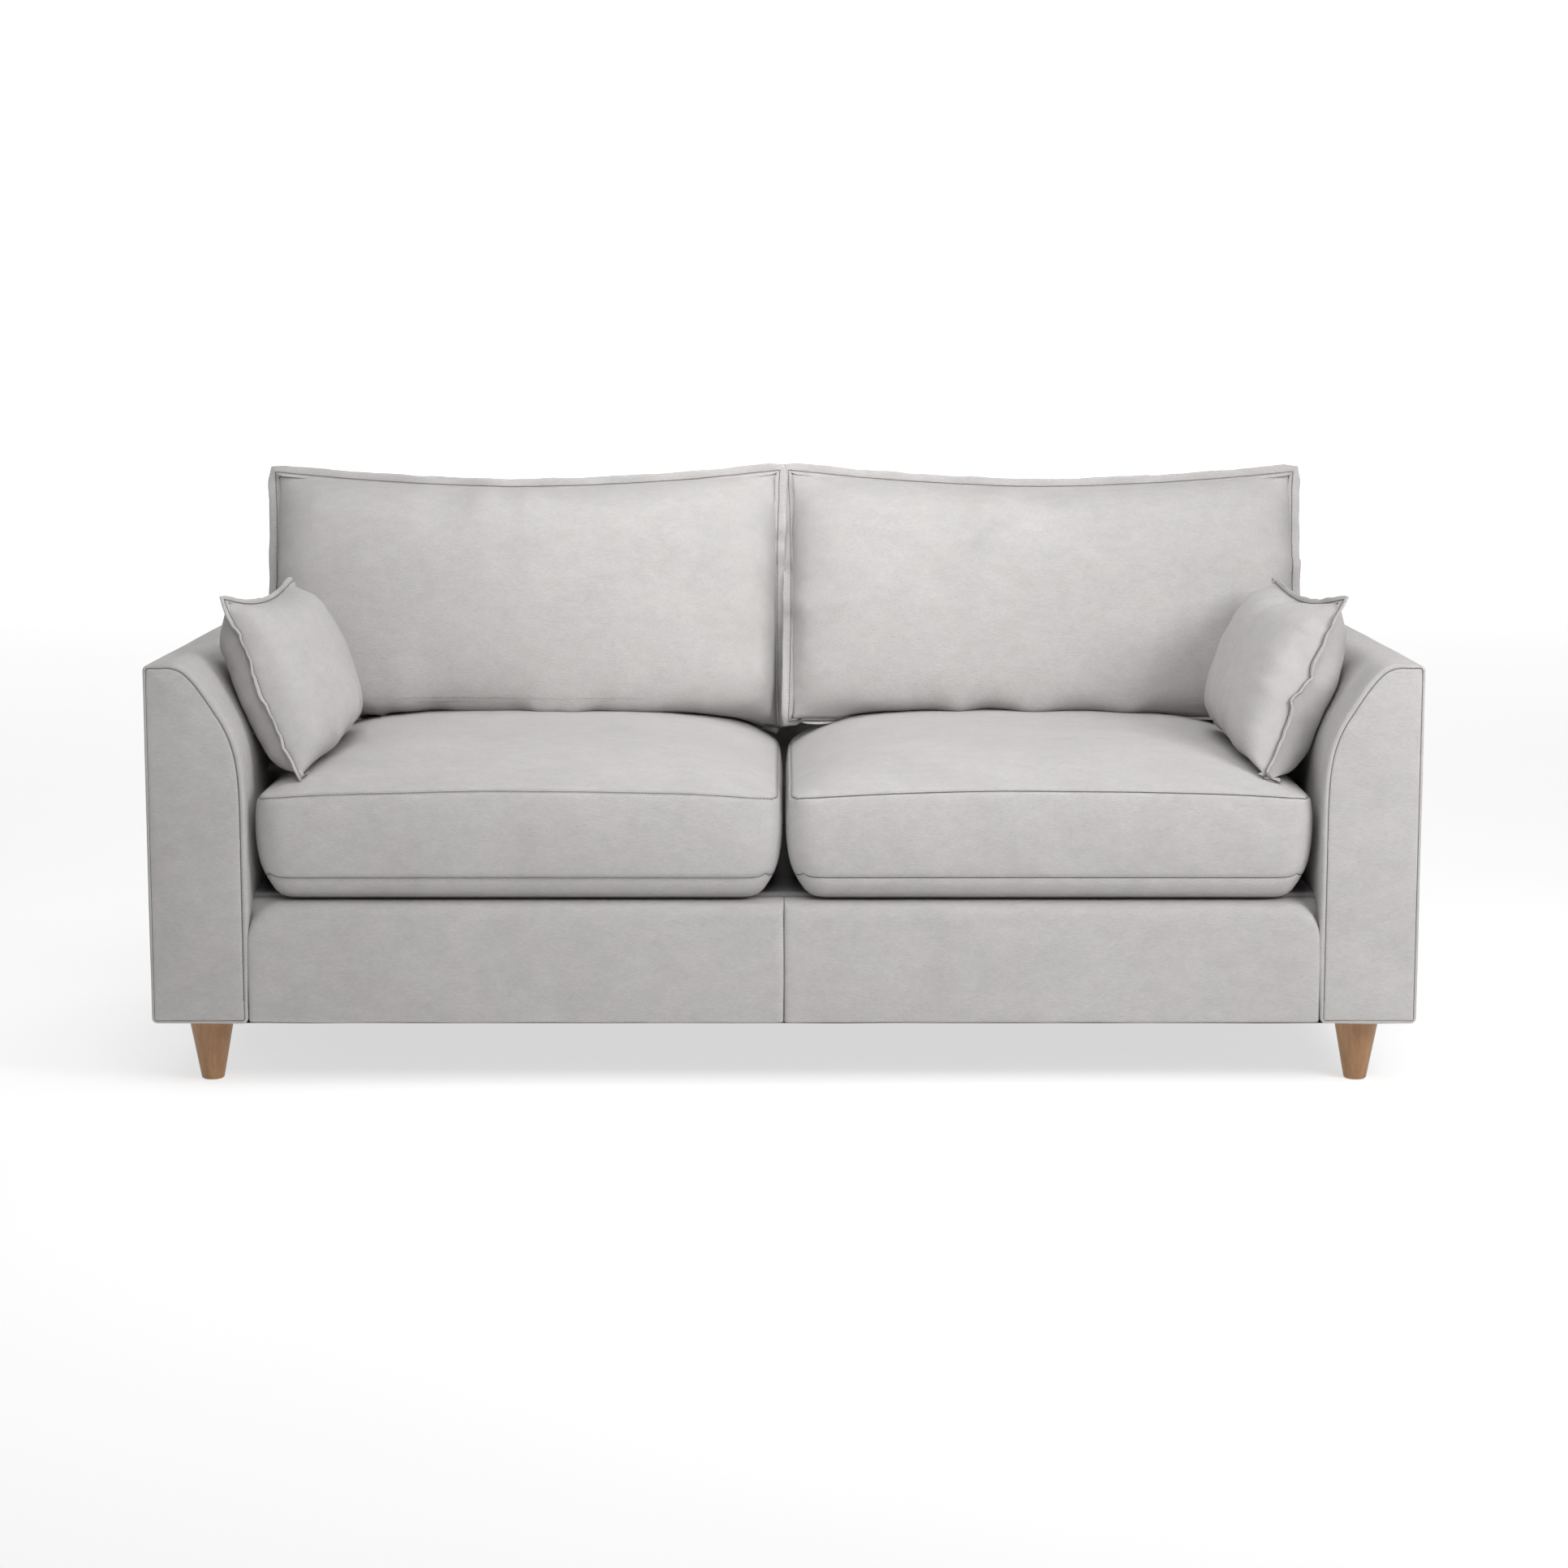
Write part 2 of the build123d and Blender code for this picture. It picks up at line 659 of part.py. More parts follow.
def pillow(width, height, bulge, side_bulge, inset=0.0):
    """Knife-edged pillow about the origin: X its width, Z its height, Y its thickness."""
    upright = Plane((0, 0, 0), x_dir=(0, 0, 1), z_dir=(1, 0, 0))
    across = lens(height / 2, bulge, inset, upright, width - 2 * inset)
    along = lens(width / 2, side_bulge, inset, Plane.XY, height)
    return across & along


def flanged(width, height, flange, bulge, side_bulge, corner):
    """Pillow with a flat double-cloth flange outside its seam on all four sides."""
    body = pillow(width - 2 * flange, height - 2 * flange, bulge, side_bulge)
    edge = extrude(Plane.XZ * RectangleRounded(width, height, corner), amount=CLOTH, both=True)
    return body + edge


def flange_zip(length, height):
    """Zip tape on the rear face of the lower flange, and its slider at the +X end."""
    z0 = -height / 2 + 1
    y0 = CLOTH
    tape = block(-length / 2, length / 2, y0, y0 + ZIP_TAPE, z0, z0 + ZIP_WIDTH)
    y1 = y0 + ZIP_TAPE + SLIDER_CLEAR
    x1 = length / 2 - ZIP_MARGIN
    slider = block(x1 - SLIDER, x1, y1, y1 + SLIDER_HEIGHT, z0, z0 + SLIDER)
    middle = z0 + SLIDER / 2
    pull = block(
        x1 - SLIDER - PULL_LENGTH,
        x1 - SLIDER,
        y1 + SLIDER_HEIGHT - PULL_THICKNESS,
        y1 + SLIDER_HEIGHT,
        middle - PULL_WIDTH / 2,
        middle + PULL_WIDTH / 2,
    )
    return tape, slider + pull


def back_cushion_centre():
    """Y and Z of the middle of a back cushion: its foot on the seat, its rear bulge at the back."""
    lean, rake = radians(BACK_CUSHION_LEAN), radians(BACK_RAKE)
    z = SEAT_TOP + REST_GAP + BACK_CUSHION_HEIGHT / 2
    half = BACK_CUSHION_HEIGHT / (2 * cos(lean)) - BACK_FLANGE
    radius = (half * half + BACK_CUSHION_BULGE ** 2) / (2 * BACK_CUSHION_BULGE)
    offset = BACK_CUSHION_BULGE - radius
    plane = back_line(DECK_HEIGHT) * cos(rake) - DECK_HEIGHT * sin(rake) - BEHIND_GAP
    y = (plane - radius + (z - offset * sin(lean)) * sin(rake)) / cos(rake) - offset * cos(lean)
    return y, z


def back_cushion_place():
    """Place and lean of the right back cushion."""
    y, z = back_cushion_centre()
    return Pos(SEAT_CENTRE_GAP + BACK_CUSHION_WIDTH / 2, y, z) * Rot(-BACK_CUSHION_LEAN, 0, 0)


def back_cushion():
    """Cover, filling, zip tape and slider of the right back cushion."""
    place = back_cushion_place()
    height = BACK_CUSHION_HEIGHT / cos(radians(BACK_CUSHION_LEAN))
    width = BACK_CUSHION_WIDTH
    inner_w, inner_h = width - 2 * BACK_FLANGE, height - 2 * BACK_FLANGE
    bulges = (BACK_CUSHION_BULGE, BACK_CUSHION_SIDE_BULGE)
    outside = place * flanged(width, height, BACK_FLANGE, *bulges, BACK_CUSHION_CORNER)
    outside -= arm_block(0, REAR, inner=-ARM_CLEAR)
    hollow = place * pillow(inner_w, inner_h, *bulges, CLOTH)
    hollow -= arm_block(0, REAR, inner=-ARM_CLEAR - CLOTH)
    filling = place * pillow(inner_w, inner_h, *bulges, CLOTH + LAYER_GAP)
    filling -= arm_block(0, REAR, inner=-ARM_CLEAR - CLOTH - LAYER_GAP)
    tape, slider = flange_zip(BACK_ZIP, height)
    return outside - hollow, filling, place * tape, place * slider


def seat_line(x):
    """Height of the crown of the right seat cushion at x."""
    middle, half = (SEAT_X0 + SEAT_X1) / 2, (SEAT_X1 - SEAT_X0) / 2
    radius = (half * half + SEAT_END_DROP ** 2) / (2 * SEAT_END_DROP)
    return SEAT_TOP - radius + sqrt(radius ** 2 - (x - middle) ** 2)


def scatter_ends():
    """Y of the front and the rear end of a scatter cushion, which stops short of the back one."""
    middle = back_cushion_centre()[0]
    foot = middle - BACK_CUSHION_HEIGHT / 2 * tan(radians(BACK_CUSHION_LEAN))
    return FRONT + SCATTER_FRONT, foot - SCATTER_BACK_GAP


def scatter_place():
    """Centre of the right scatter cushion: parallel to the arm's slope, its foot on the seat."""
    lean = atan2(ARM_SLOPE_RUN, ARM_SLOPE_RISE)
    reach = SCATTER_BULGE + ARM_CLEAR + CLOTH + WADDING
    foot_z = SEAT_TOP
    for _ in range(6):
        foot_x = slope_x(foot_z) - reach / cos(lean)
        foot_z = seat_line(foot_x - CLOTH) + REST_GAP + CLOTH
    half = SCATTER_HEIGHT / 2
    x, z = foot_x + half * sin(lean), foot_z + half * cos(lean)
    y = sum(scatter_ends()) / 2
    return Pos(x, y, z) * Rot(0, degrees(lean), 0) * Rot(0, 0, -90)


def scatter_cushion():
    """Cover, filling, zip tape and slider of the right scatter cushion."""
    place = scatter_place()
    front, rear = scatter_ends()
    width, height = rear - front, SCATTER_HEIGHT
    inner_w, inner_h = width - 2 * SCATTER_FLANGE, height - 2 * SCATTER_FLANGE
    bulges = (SCATTER_BULGE, SCATTER_SIDE_BULGE)
    outside = flanged(width, height, SCATTER_FLANGE, *bulges, SCATTER_CORNER)
    cover = place * (outside - pillow(inner_w, inner_h, *bulges, CLOTH))
    filling = place * pillow(inner_w, inner_h, *bulges, CLOTH + LAYER_GAP)
    tape, slider = flange_zip(SCATTER_ZIP, height)
    return cover, filling, place * tape, place * slider


def seat_cushion():
    """Cover, foam core, zip tape and slider of the right seat cushion."""
    cover = seat_block(0) - seat_block(CLOTH)
    core = seat_block(CLOTH + LAYER_GAP)
    x = (SEAT_X0 + SEAT_X1) / 2
    z = DECK_HEIGHT + SEAT_BOXING / 2
    y0 = SEAT_REAR
    half, wide = SEAT_ZIP / 2, BOXING_ZIP_WIDTH / 2
    tape = block(x - half, x + half, y0, y0 + ZIP_TAPE, z - wide, z + wide)
    y1 = y0 + ZIP_TAPE + SLIDER_CLEAR
    x1 = x + half - ZIP_MARGIN
    slider = block(x1 - SLIDER, x1, y1, y1 + SLIDER_HEIGHT, z - SLIDER / 2, z + SLIDER / 2)
    middle = x1 - SLIDER / 2
    pull = block(
        middle - PULL_WIDTH / 2,
        middle + PULL_WIDTH / 2,
        y1 + SLIDER_HEIGHT - PULL_THICKNESS,
        y1 + SLIDER_HEIGHT,
        z - SLIDER / 2 - PULL_LENGTH,
        z - SLIDER / 2,
    )
    return cover, core, tape, slider + pull


def pairs():
    """Pieces made for the right side that have a mirrored twin on the left."""
    seat, back, scatter = seat_cushion(), back_cushion(), scatter_cushion()
    named = {
        "front_border": front_border(),
        "arm_padding": arm_padding(),
        "arm_cover": arm_cover(),
        "arm_facing": arm_facing(),
        "seat_cushion_cover": seat[0],
        "seat_cushion_core": seat[1],
        "back_cushion_cover": back[0],
        "back_cushion_filling": back[1],
        "scatter_cushion_cover": scatter[0],
        "scatter_cushion_filling": scatter[1],
    }
    for name, cushion in (("seat", seat), ("back", back), ("scatter", scatter)):
        named[name + "_cushion_zip"] = cushion[2]
        named[name + "_cushion_zip_slider"] = cushion[3]
    return named


def build():
    """Every node of the sofa by name."""
    nodes = {
        "front_rail": front_rail(),
        "rear_rail": rear_rail(),
        "side_rails": side_rails(),
        "centre_brace": centre_brace(),
        "corner_blocks": corner_blocks(),
        "seat_springs": seat_springs(),
        "spring_clips": spring_clips(),
        "front_foam": front_foam(),
        "deck_pad": deck_pad(),
        "deck_cloth": deck_cloth(),
        "dust_cover": dust_cover(),
        "arm_front_panels": arm_front_panels(),
        "arm_rear_panels": arm_rear_panels(),
        "arm_top_rails": arm_top_rails(),
        "arm_outer_boards": arm_outer_boards(),
        "back_posts": back_posts(),
        "back_top_rail": back_top_rail(),
        "back_lower_rails": back_lower_rails(),
        "back_webbing": back_webbing(),
        "back_padding": back_padding(),
        "inside_back_cover": inside_back_cover(),
        "outside_back_cover": outside_back_cover(),
        "front_left_leg": leg(-LEG_X, -LEG_Y),
        "front_right_leg": leg(LEG_X, -LEG_Y),
        "rear_left_leg": leg(-LEG_X, LEG_Y),
        "rear_right_leg": leg(LEG_X, LEG_Y),
        "leg_bolts": leg_bolts(),
        "leg_nuts": leg_nuts(),
    }
    for name, piece in pairs().items():
        nodes["right_" + name] = piece
        nodes["left_" + name] = other_side(piece)
    return nodes


os.makedirs("parts", exist_ok=True)
for node, piece in build().items():
    shape = Compound(children=piece) if isinstance(piece, list) else piece
    export_step(shape, f"parts/{node}.step")
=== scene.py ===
import json
import math

import bmesh
import bpy
import numpy as np
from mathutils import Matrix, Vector, noise


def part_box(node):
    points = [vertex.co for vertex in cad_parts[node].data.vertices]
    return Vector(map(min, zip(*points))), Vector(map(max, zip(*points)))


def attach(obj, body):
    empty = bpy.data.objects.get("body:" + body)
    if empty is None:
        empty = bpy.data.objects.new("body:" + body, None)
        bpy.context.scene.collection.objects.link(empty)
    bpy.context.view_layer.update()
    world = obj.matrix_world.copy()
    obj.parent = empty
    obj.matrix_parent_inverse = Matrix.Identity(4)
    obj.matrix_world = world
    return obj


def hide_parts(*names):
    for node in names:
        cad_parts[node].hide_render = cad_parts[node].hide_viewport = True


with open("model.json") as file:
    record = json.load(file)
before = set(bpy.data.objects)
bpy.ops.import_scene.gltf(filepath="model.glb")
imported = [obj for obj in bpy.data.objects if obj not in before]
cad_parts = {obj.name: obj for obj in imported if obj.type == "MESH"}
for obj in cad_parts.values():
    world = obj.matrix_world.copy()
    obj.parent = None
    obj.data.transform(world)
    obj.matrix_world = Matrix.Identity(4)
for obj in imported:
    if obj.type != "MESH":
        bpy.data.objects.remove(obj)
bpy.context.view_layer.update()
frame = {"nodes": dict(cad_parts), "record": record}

scene = bpy.context.scene

# ------------------------------------------------------------------ camera


LENS = 74.8
EYE = (0, -5.5235, 1.1928)
TILT = 82


def make_camera():
    """Level, straight-on view of the front, a little above the arms."""
    data = bpy.data.cameras.new("camera")
    data.sensor_width = 36
    data.lens = LENS
    camera = bpy.data.objects.new("camera", data)
    camera.location = EYE
    camera.rotation_euler = (math.radians(TILT), 0, 0)
    scene.collection.objects.link(camera)
    scene.camera = camera


make_camera()

# ------------------------------------------------------------------ places and sizes, metres

ARM_LOW, ARM_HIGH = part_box("right_arm_cover")
HALF_WIDTH = ARM_HIGH.x
WELL = ARM_LOW.x
BASE = ARM_LOW.z
ARM_TOP = ARM_HIGH.z
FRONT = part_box("right_arm_facing")[0].y
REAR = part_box("outside_back_cover")[1].y
BACK_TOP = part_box("outside_back_cover")[1].z
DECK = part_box("deck_cloth")[1].z
SEAT_LOW, SEAT_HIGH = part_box("right_seat_cushion_cover")
HOOD_FOOT_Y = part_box("inside_back_cover")[0].y

ARM_CURVE = [
    (0.966, ARM_TOP + 0.0005),
    (0.952, ARM_TOP - 0.0010),
    (0.936, ARM_TOP - 0.0080),
    (0.921, 0.648),
    (0.905, 0.627),
    (0.888, 0.601),
    (0.871, 0.573),
    (0.859, 0.543),
    (0.852, 0.510),
    (0.849, 0.474),
    (WELL, 0.435),
    (WELL, 0.395),
]
EDGE = 0.0045
HOOD_RAKE = math.tan(math.radians(8.5))
HOOD_HALF = 0.895

SIDES = {"right": 1, "left": -1}

# ------------------------------------------------------------------ small helpers


def smooth_step(t):
    t = np.clip(t, 0, 1)
    return t * t * (3 - 2 * t)


def wobble(points, size, seed):
    """Soft noise from -1 to 1 at each point, with features of that size."""
    shift = Vector((seed * 7.31, seed * 3.17, seed * 5.77))
    return np.array([noise.noise(Vector(p) / size + shift) for p in points])


def slope_x(z):
    """X of the inner side of the right arm, upright below and leaning outwards above."""
    heights = [point[1] for point in reversed(ARM_CURVE)]
    return np.interp(z, heights, [point[0] for point in reversed(ARM_CURVE)])


def hood_y(z):
    """Y of the raked front of the back rest."""
    return HOOD_FOOT_Y + (z - DECK) * HOOD_RAKE


def add_piece(name, points, faces, material, side=1, outward=None):
    """Smooth mesh object from points and faces, mirrored for the left side."""
    points = np.array(points, float)
    points[:, 0] *= side
    mesh = bpy.data.meshes.new(name)
    mesh.from_pydata(points.tolist(), [], [list(f) for f in faces])
    made = bmesh.new()
    made.from_mesh(mesh)
    bmesh.ops.remove_doubles(made, verts=made.verts, dist=1e-5)
    bmesh.ops.dissolve_degenerate(made, dist=1e-6, edges=made.edges)
    bmesh.ops.recalc_face_normals(made, faces=made.faces)
    if outward is not None:
        total = sum((f.normal * f.calc_area() for f in made.faces), Vector())
        if total.dot(Vector(outward)) < 0:
            bmesh.ops.reverse_faces(made, faces=made.faces)
    made.to_mesh(mesh)
    made.free()
    mesh.materials.append(material)
    mesh.polygons.foreach_set("use_smooth", [True] * len(mesh.polygons))
    obj = bpy.data.objects.new(name, mesh)
    scene.collection.objects.link(obj)
    return obj


def coordinates(mesh):
    flat = np.zeros(len(mesh.vertices) * 3)
    mesh.vertices.foreach_get("co", flat)
    return flat.reshape(-1, 3)


def set_coordinates(mesh, points):
    mesh.vertices.foreach_set("co", np.asarray(points, np.float32).ravel())
    mesh.update()


def skin(rings, closed):
    """Points and faces of a surface through rings of equal length."""
    count = len(rings[0])
    faces = []
    last = count if closed else count - 1
    for i in range(len(rings) - 1):
        for j in range(last):
            a = i * count + j
            b = i * count + (j + 1) % count
            faces.append((a, b, b + count, a + count))
    return np.concatenate(rings), faces


def rounded_loop(corners, radii, parts, arc_parts=7):
    """Closed outline with rounded corners; parts gives the pieces of each straight side."""
    arcs = []
    count = len(corners)
    for i in range(count):
        before, here, after = (np.array(corners[(i + k) % count], float) for k in (-1, 0, 1))
        a = (before - here) / np.linalg.norm(before - here)
        b = (after - here) / np.linalg.norm(after - here)
        half = math.acos(np.clip(a @ b, -1, 1)) / 2
        radius = max(radii[i], 1e-4)
        middle = (a + b) / np.linalg.norm(a + b)
        centre = here + middle * radius / math.sin(half)
        first = here + a * radius / math.tan(half) - centre
        final = here + b * radius / math.tan(half) - centre
        turn = math.acos(np.clip(first @ final / radius**2, -1, 1))
        arc = []
        for k in range(arc_parts + 1):
            t = k / arc_parts
            mix = first * math.sin((1 - t) * turn) + final * math.sin(t * turn)
            arc.append(centre + mix / math.sin(turn))
        arcs.append(arc)
    loop = []
    for i in range(count):
        loop += arcs[i]
        start, end = arcs[i][-1], arcs[(i + 1) % count][0]
        loop += [start + (end - start) * k / parts[i] for k in range(1, parts[i])]
    return np.array(loop)


def through(points, parts):
    """Smooth line through points, with so many pieces between each pair."""
    points = [np.array(p, float) for p in points]
    points = [2 * points[0] - points[1]] + points + [2 * points[-1] - points[-2]]
    line = []
    for a, b, c, d in zip(points, points[1:], points[2:], points[3:]):
        for k in range(parts):
            t = k / parts
            square = (a - 2.5 * b + 2 * c - d / 2) * t**2
            cube = (1.5 * (b - c) + (d - a) / 2) * t**3
            line.append(b + (c - a) * t / 2 + square + cube)
    return line + [points[-2]]


def loop_normals(loop):
    """Outward unit normals of a counter-clockwise outline."""
    tangent = np.roll(loop, -1, 0) - np.roll(loop, 1, 0)
    normal = np.stack([tangent[:, 1], -tangent[:, 0]], 1)
    return normal / np.linalg.norm(normal, axis=1)[:, None]


def panel_rings(loop, targets, edge, parts, crown):
    """Rings from an outline in to its middle line, each as (outline points, height).
    edge lists (distance from the outline, height); crown is added towards the middle."""
    reach = np.linalg.norm(targets - loop, axis=1)[:, None]
    rings = []
    for distance, height in edge:
        t = np.minimum(distance / reach, 0.6)
        rings.append((loop + (targets - loop) * t, np.full(len(loop), height)))
    start = np.minimum(edge[-1][0] / reach, 0.6)
    for k in range(1, parts + 1):
        share = k / parts
        t = start + (1 - start) * share
        height = edge[-1][1] + crown * (1 - (1 - share) ** 2)
        rings.append((loop + (targets - loop) * t, np.full(len(loop), height)))
    return rings


def thread(name, path, radius, material, body, closed=False, pitch=0.006):
    """Sewing thread along a path, drawn as one fine tube that dips between stitches."""
    path = np.array(path, float)
    if closed:
        path = np.vstack([path, path[:1]])
    steps = np.linalg.norm(np.diff(path, axis=0), axis=1)
    along = np.concatenate([[0], np.cumsum(steps)])
    count = max(8, int(along[-1] / (pitch / 3)))
    marks = np.linspace(0, along[-1], count)
    line = np.stack([np.interp(marks, along, path[:, k]) for k in range(3)], 1)
    tangent = np.gradient(line, axis=0)
    tangent /= np.linalg.norm(tangent, axis=1)[:, None] + 1e-12
    lift = np.where(np.abs(tangent[:, 2:3]) > 0.8, [[1.0, 0, 0]], [[0, 0, 1.0]])
    across = np.cross(tangent, lift)
    across /= np.linalg.norm(across, axis=1)[:, None]
    up = np.cross(across, tangent)
    girth = radius * (1 + 0.28 * np.sin(marks * 2 * math.pi / pitch))[:, None]
    rings = []
    for k in range(5):
        angle = k * 2 * math.pi / 5
        rings.append(line + girth * (across * math.cos(angle) + up * math.sin(angle)))
    stacked = np.stack(rings, 1)
    points, faces = skin([stacked[i] for i in range(count)], True)
    faces.append(tuple(range(5)))
    faces.append(tuple(range((count - 1) * 5, count * 5)))
    obj = add_piece(name, points, faces, material)
    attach(obj, body)
    return obj


# ------------------------------------------------------------------ materials


def new_material(name, roughness, specular=0.3):
    material = bpy.data.materials.new(name)
    material.use_nodes = True
    tree = material.node_tree
    shader = tree.nodes["Principled BSDF"]
    shader.inputs["Roughness"].default_value = roughness
    shader.inputs["Specular IOR Level"].default_value = specular
    coords = tree.nodes.new("ShaderNodeTexCoord").outputs["Object"]
    return material, tree, shader, coords


def noise_at(tree, coords, scale, detail=2.0, distortion=0.0, rough=0.55):
    """Noise stretched by a scale per axis; scale is in features per metre."""
    mapping = tree.nodes.new("ShaderNodeMapping")
    mapping.inputs["Scale"].default_value = scale
    tree.links.new(coords, mapping.inputs["Vector"])
    texture = tree.nodes.new("ShaderNodeTexNoise")
    texture.inputs["Scale"].default_value = 1.0
    texture.inputs["Detail"].default_value = detail
    texture.inputs["Roughness"].default_value = rough
    texture.inputs["Distortion"].default_value = distortion
    tree.links.new(mapping.outputs["Vector"], texture.inputs["Vector"])
    return texture.outputs["Fac"]


def math_node(tree, kind, first, second):
    node = tree.nodes.new("ShaderNodeMath")
    node.operation = kind
    for socket, value in zip(node.inputs, (first, second)):
        if isinstance(value, (int, float)):
            socket.default_value = value
        else:
            tree.links.new(value, socket)
    return node.outputs["Value"]


def weighted(tree, parts):
    """Sum of several values, each times its weight."""
    total = 0.0
    for value, weight in parts:
        total = math_node(tree, "ADD", math_node(tree, "MULTIPLY", value, weight), total)
    return total


def ramp(tree, value, stops):
    node = tree.nodes.new("ShaderNodeValToRGB")
    node.color_ramp.elements[0].position = stops[0][0]
    node.color_ramp.elements[0].color = (*stops[0][1], 1)
    node.color_ramp.elements[1].position = stops[-1][0]
    node.color_ramp.elements[1].color = (*stops[-1][1], 1)
    for position, color in stops[1:-1]:
        element = node.color_ramp.elements.new(position)
        element.color = (*color, 1)
    tree.links.new(value, node.inputs["Fac"])
    return node.outputs["Color"]


def bump(tree, shader, height, distance, strength=1.0):
    node = tree.nodes.new("ShaderNodeBump")
    node.inputs["Distance"].default_value = distance
    node.inputs["Strength"].default_value = strength
    tree.links.new(height, node.inputs["Height"])
    tree.links.new(node.outputs["Normal"], shader.inputs["Normal"])


def along_axis(axis, slow, fast):
    """Scale per axis: slow along one axis, fast across it."""
    return tuple(slow if k == axis else fast for k in range(3))


def upholstery(name, axis):
    """Pale warm-grey chenille: long slubs along one axis, fine weave, faint shading in patches."""
    material, tree, shader, coords = new_material(name, 0.93, 0.18)
    slub = noise_at(tree, coords, along_axis(axis, 95, 560), 3.0, rough=0.62)
    fleck = noise_at(tree, coords, along_axis(axis, 150, 1250), 2.0)
    warp = noise_at(tree, coords, along_axis(axis, 1300, 260), 1.0)
    patch = noise_at(tree, coords, (9, 9, 9), 5.0, distortion=0.5)
    nap = noise_at(tree, coords, along_axis(axis, 34, 62), 4.0)
    shade = weighted(tree, [(slub, 0.26), (fleck, 0.34), (patch, 0.20), (nap, 0.20)])
    tint = noise_at(tree, coords, (16, 16, 16), 3.0)
    cool = ramp(
        tree,
        shade,
        [(0.36, (0.406, 0.403, 0.399)), (0.50, (0.465, 0.461, 0.456)), (0.64, (0.534, 0.528, 0.521))],
    )
    warm = ramp(
        tree,
        shade,
        [(0.36, (0.429, 0.399, 0.394)), (0.50, (0.489, 0.459, 0.454)), (0.64, (0.558, 0.525, 0.521))],
    )
    blend = tree.nodes.new("ShaderNodeMixRGB")
    tree.links.new(math_node(tree, "MULTIPLY", tint, 0.8), blend.inputs["Fac"])
    tree.links.new(cool, blend.inputs["Color1"])
    tree.links.new(warm, blend.inputs["Color2"])
    color = blend.outputs["Color"]
    tree.links.new(color, shader.inputs["Base Color"])
    shader.inputs["Sheen Weight"].default_value = 0.16
    shader.inputs["Sheen Roughness"].default_value = 0.55
    shader.inputs["Sheen Tint"].default_value = (0.95, 0.94, 0.93, 1)
    weave = weighted(tree, [(fleck, 0.5), (warp, 0.3), (slub, 0.5)])
    bump(tree, shader, weave, 0.0011)
    return material


# Dark grey thread: partly the stitching's own colour, partly painted shade for the shadow line that
# runs beside each seam.
def thread_and_seam_shade(name):
    material, tree, shader, coords = new_material(name, 0.7, 0.3)
    twist = noise_at(tree, coords, (900, 900, 900), 2.0)
    color = ramp(tree, twist, [(0.3, (0.150, 0.145, 0.143)), (0.7, (0.230, 0.223, 0.220))])
    tree.links.new(color, shader.inputs["Base Color"])
    bump(tree, shader, twist, 0.0004)
    return material


def wood(name, light, dark, roughness):
    """Straight-grained timber with the grain upright, growth bands and fine pores."""
    material, tree, shader, coords = new_material(name, roughness, 0.4)
    bands = noise_at(tree, coords, (38, 38, 2.2), 3.0, distortion=1.2)
    pores = noise_at(tree, coords, (700, 700, 22), 2.0)
    fleck = noise_at(tree, coords, (160, 160, 9), 2.0)
    grain = weighted(tree, [(bands, 0.55), (pores, 0.22), (fleck, 0.25)])
    tree.links.new(ramp(tree, grain, [(0.36, dark), (0.66, light)]), shader.inputs["Base Color"])
    bump(tree, shader, pores, 0.0003, 0.6)
    return material


def mottled(name, dark, light, roughness, scale, depth, metallic=0.0):
    """Fine-grained finish for the parts inside: board, foam, steel, webbing and tape."""
    material, tree, shader, coords = new_material(name, roughness)
    shader.inputs["Metallic"].default_value = metallic
    fine = noise_at(tree, coords, scale, 4.0)
    broad = noise_at(tree, coords, (9, 9, 9), 3.0)
    value = weighted(tree, [(fine, 0.65), (broad, 0.35)])
    tree.links.new(ramp(tree, value, [(0.35, dark), (0.65, light)]), shader.inputs["Base Color"])
    bump(tree, shader, fine, depth)
    return material


CLOTH_X = upholstery("upholstery_across", 0)
CLOTH_Y = upholstery("upholstery_front_to_back", 1)
# Thread finish whose dark grey is partly painted seam shade.
THREAD_AND_SEAM_SHADE = thread_and_seam_shade("thread_and_seam_shade")
LEG_WOOD = wood("leg_wood", (0.408, 0.226, 0.108), (0.255, 0.133, 0.061), 0.42)
# slot: dark tone, light tone, roughness, fineness along x, y and z, depth in metres, metal or not
MOTTLED = {
    "plywood": ((0.40, 0.28, 0.16), (0.60, 0.46, 0.30), 0.7, (30, 30, 400), 0.0004, 0),
    "hardboard": ((0.12, 0.08, 0.05), (0.22, 0.15, 0.09), 0.75, (500, 500, 500), 0.0003, 0),
    "foam": ((0.66, 0.64, 0.52), (0.80, 0.78, 0.66), 0.95, (700, 700, 700), 0.0010, 0),
    "wadding": ((0.72, 0.72, 0.72), (0.86, 0.86, 0.86), 0.98, (180, 180, 180), 0.0015, 0),
    "webbing": ((0.10, 0.10, 0.11), (0.20, 0.19, 0.19), 0.85, (60, 900, 900), 0.0006, 0),
    "deck_fabric": ((0.20, 0.20, 0.20), (0.31, 0.30, 0.30), 0.95, (600, 600, 600), 0.0006, 0),
    "dust_cloth": ((0.025, 0.025, 0.028), (0.07, 0.07, 0.075), 0.95, (500, 500, 500), 0.0005, 0),
    "spring_steel": ((0.42, 0.42, 0.43), (0.62, 0.62, 0.63), 0.38, (200, 200, 200), 0.0002, 1),
    "fastener_steel": ((0.50, 0.49, 0.45), (0.68, 0.67, 0.62), 0.34, (300, 300, 300), 0.0002, 1),
    "zip_tape": ((0.30, 0.29, 0.29), (0.42, 0.41, 0.41), 0.9, (150, 900, 900), 0.0004, 0),
    "zip_metal": ((0.45, 0.44, 0.42), (0.66, 0.65, 0.62), 0.35, (300, 300, 300), 0.0002, 1),
}
FINISHES = {
    "upholstery": CLOTH_X,
    "leg_wood": LEG_WOOD,
    "frame_timber": wood("frame_timber", (0.62, 0.48, 0.30), (0.44, 0.31, 0.17), 0.7),
}
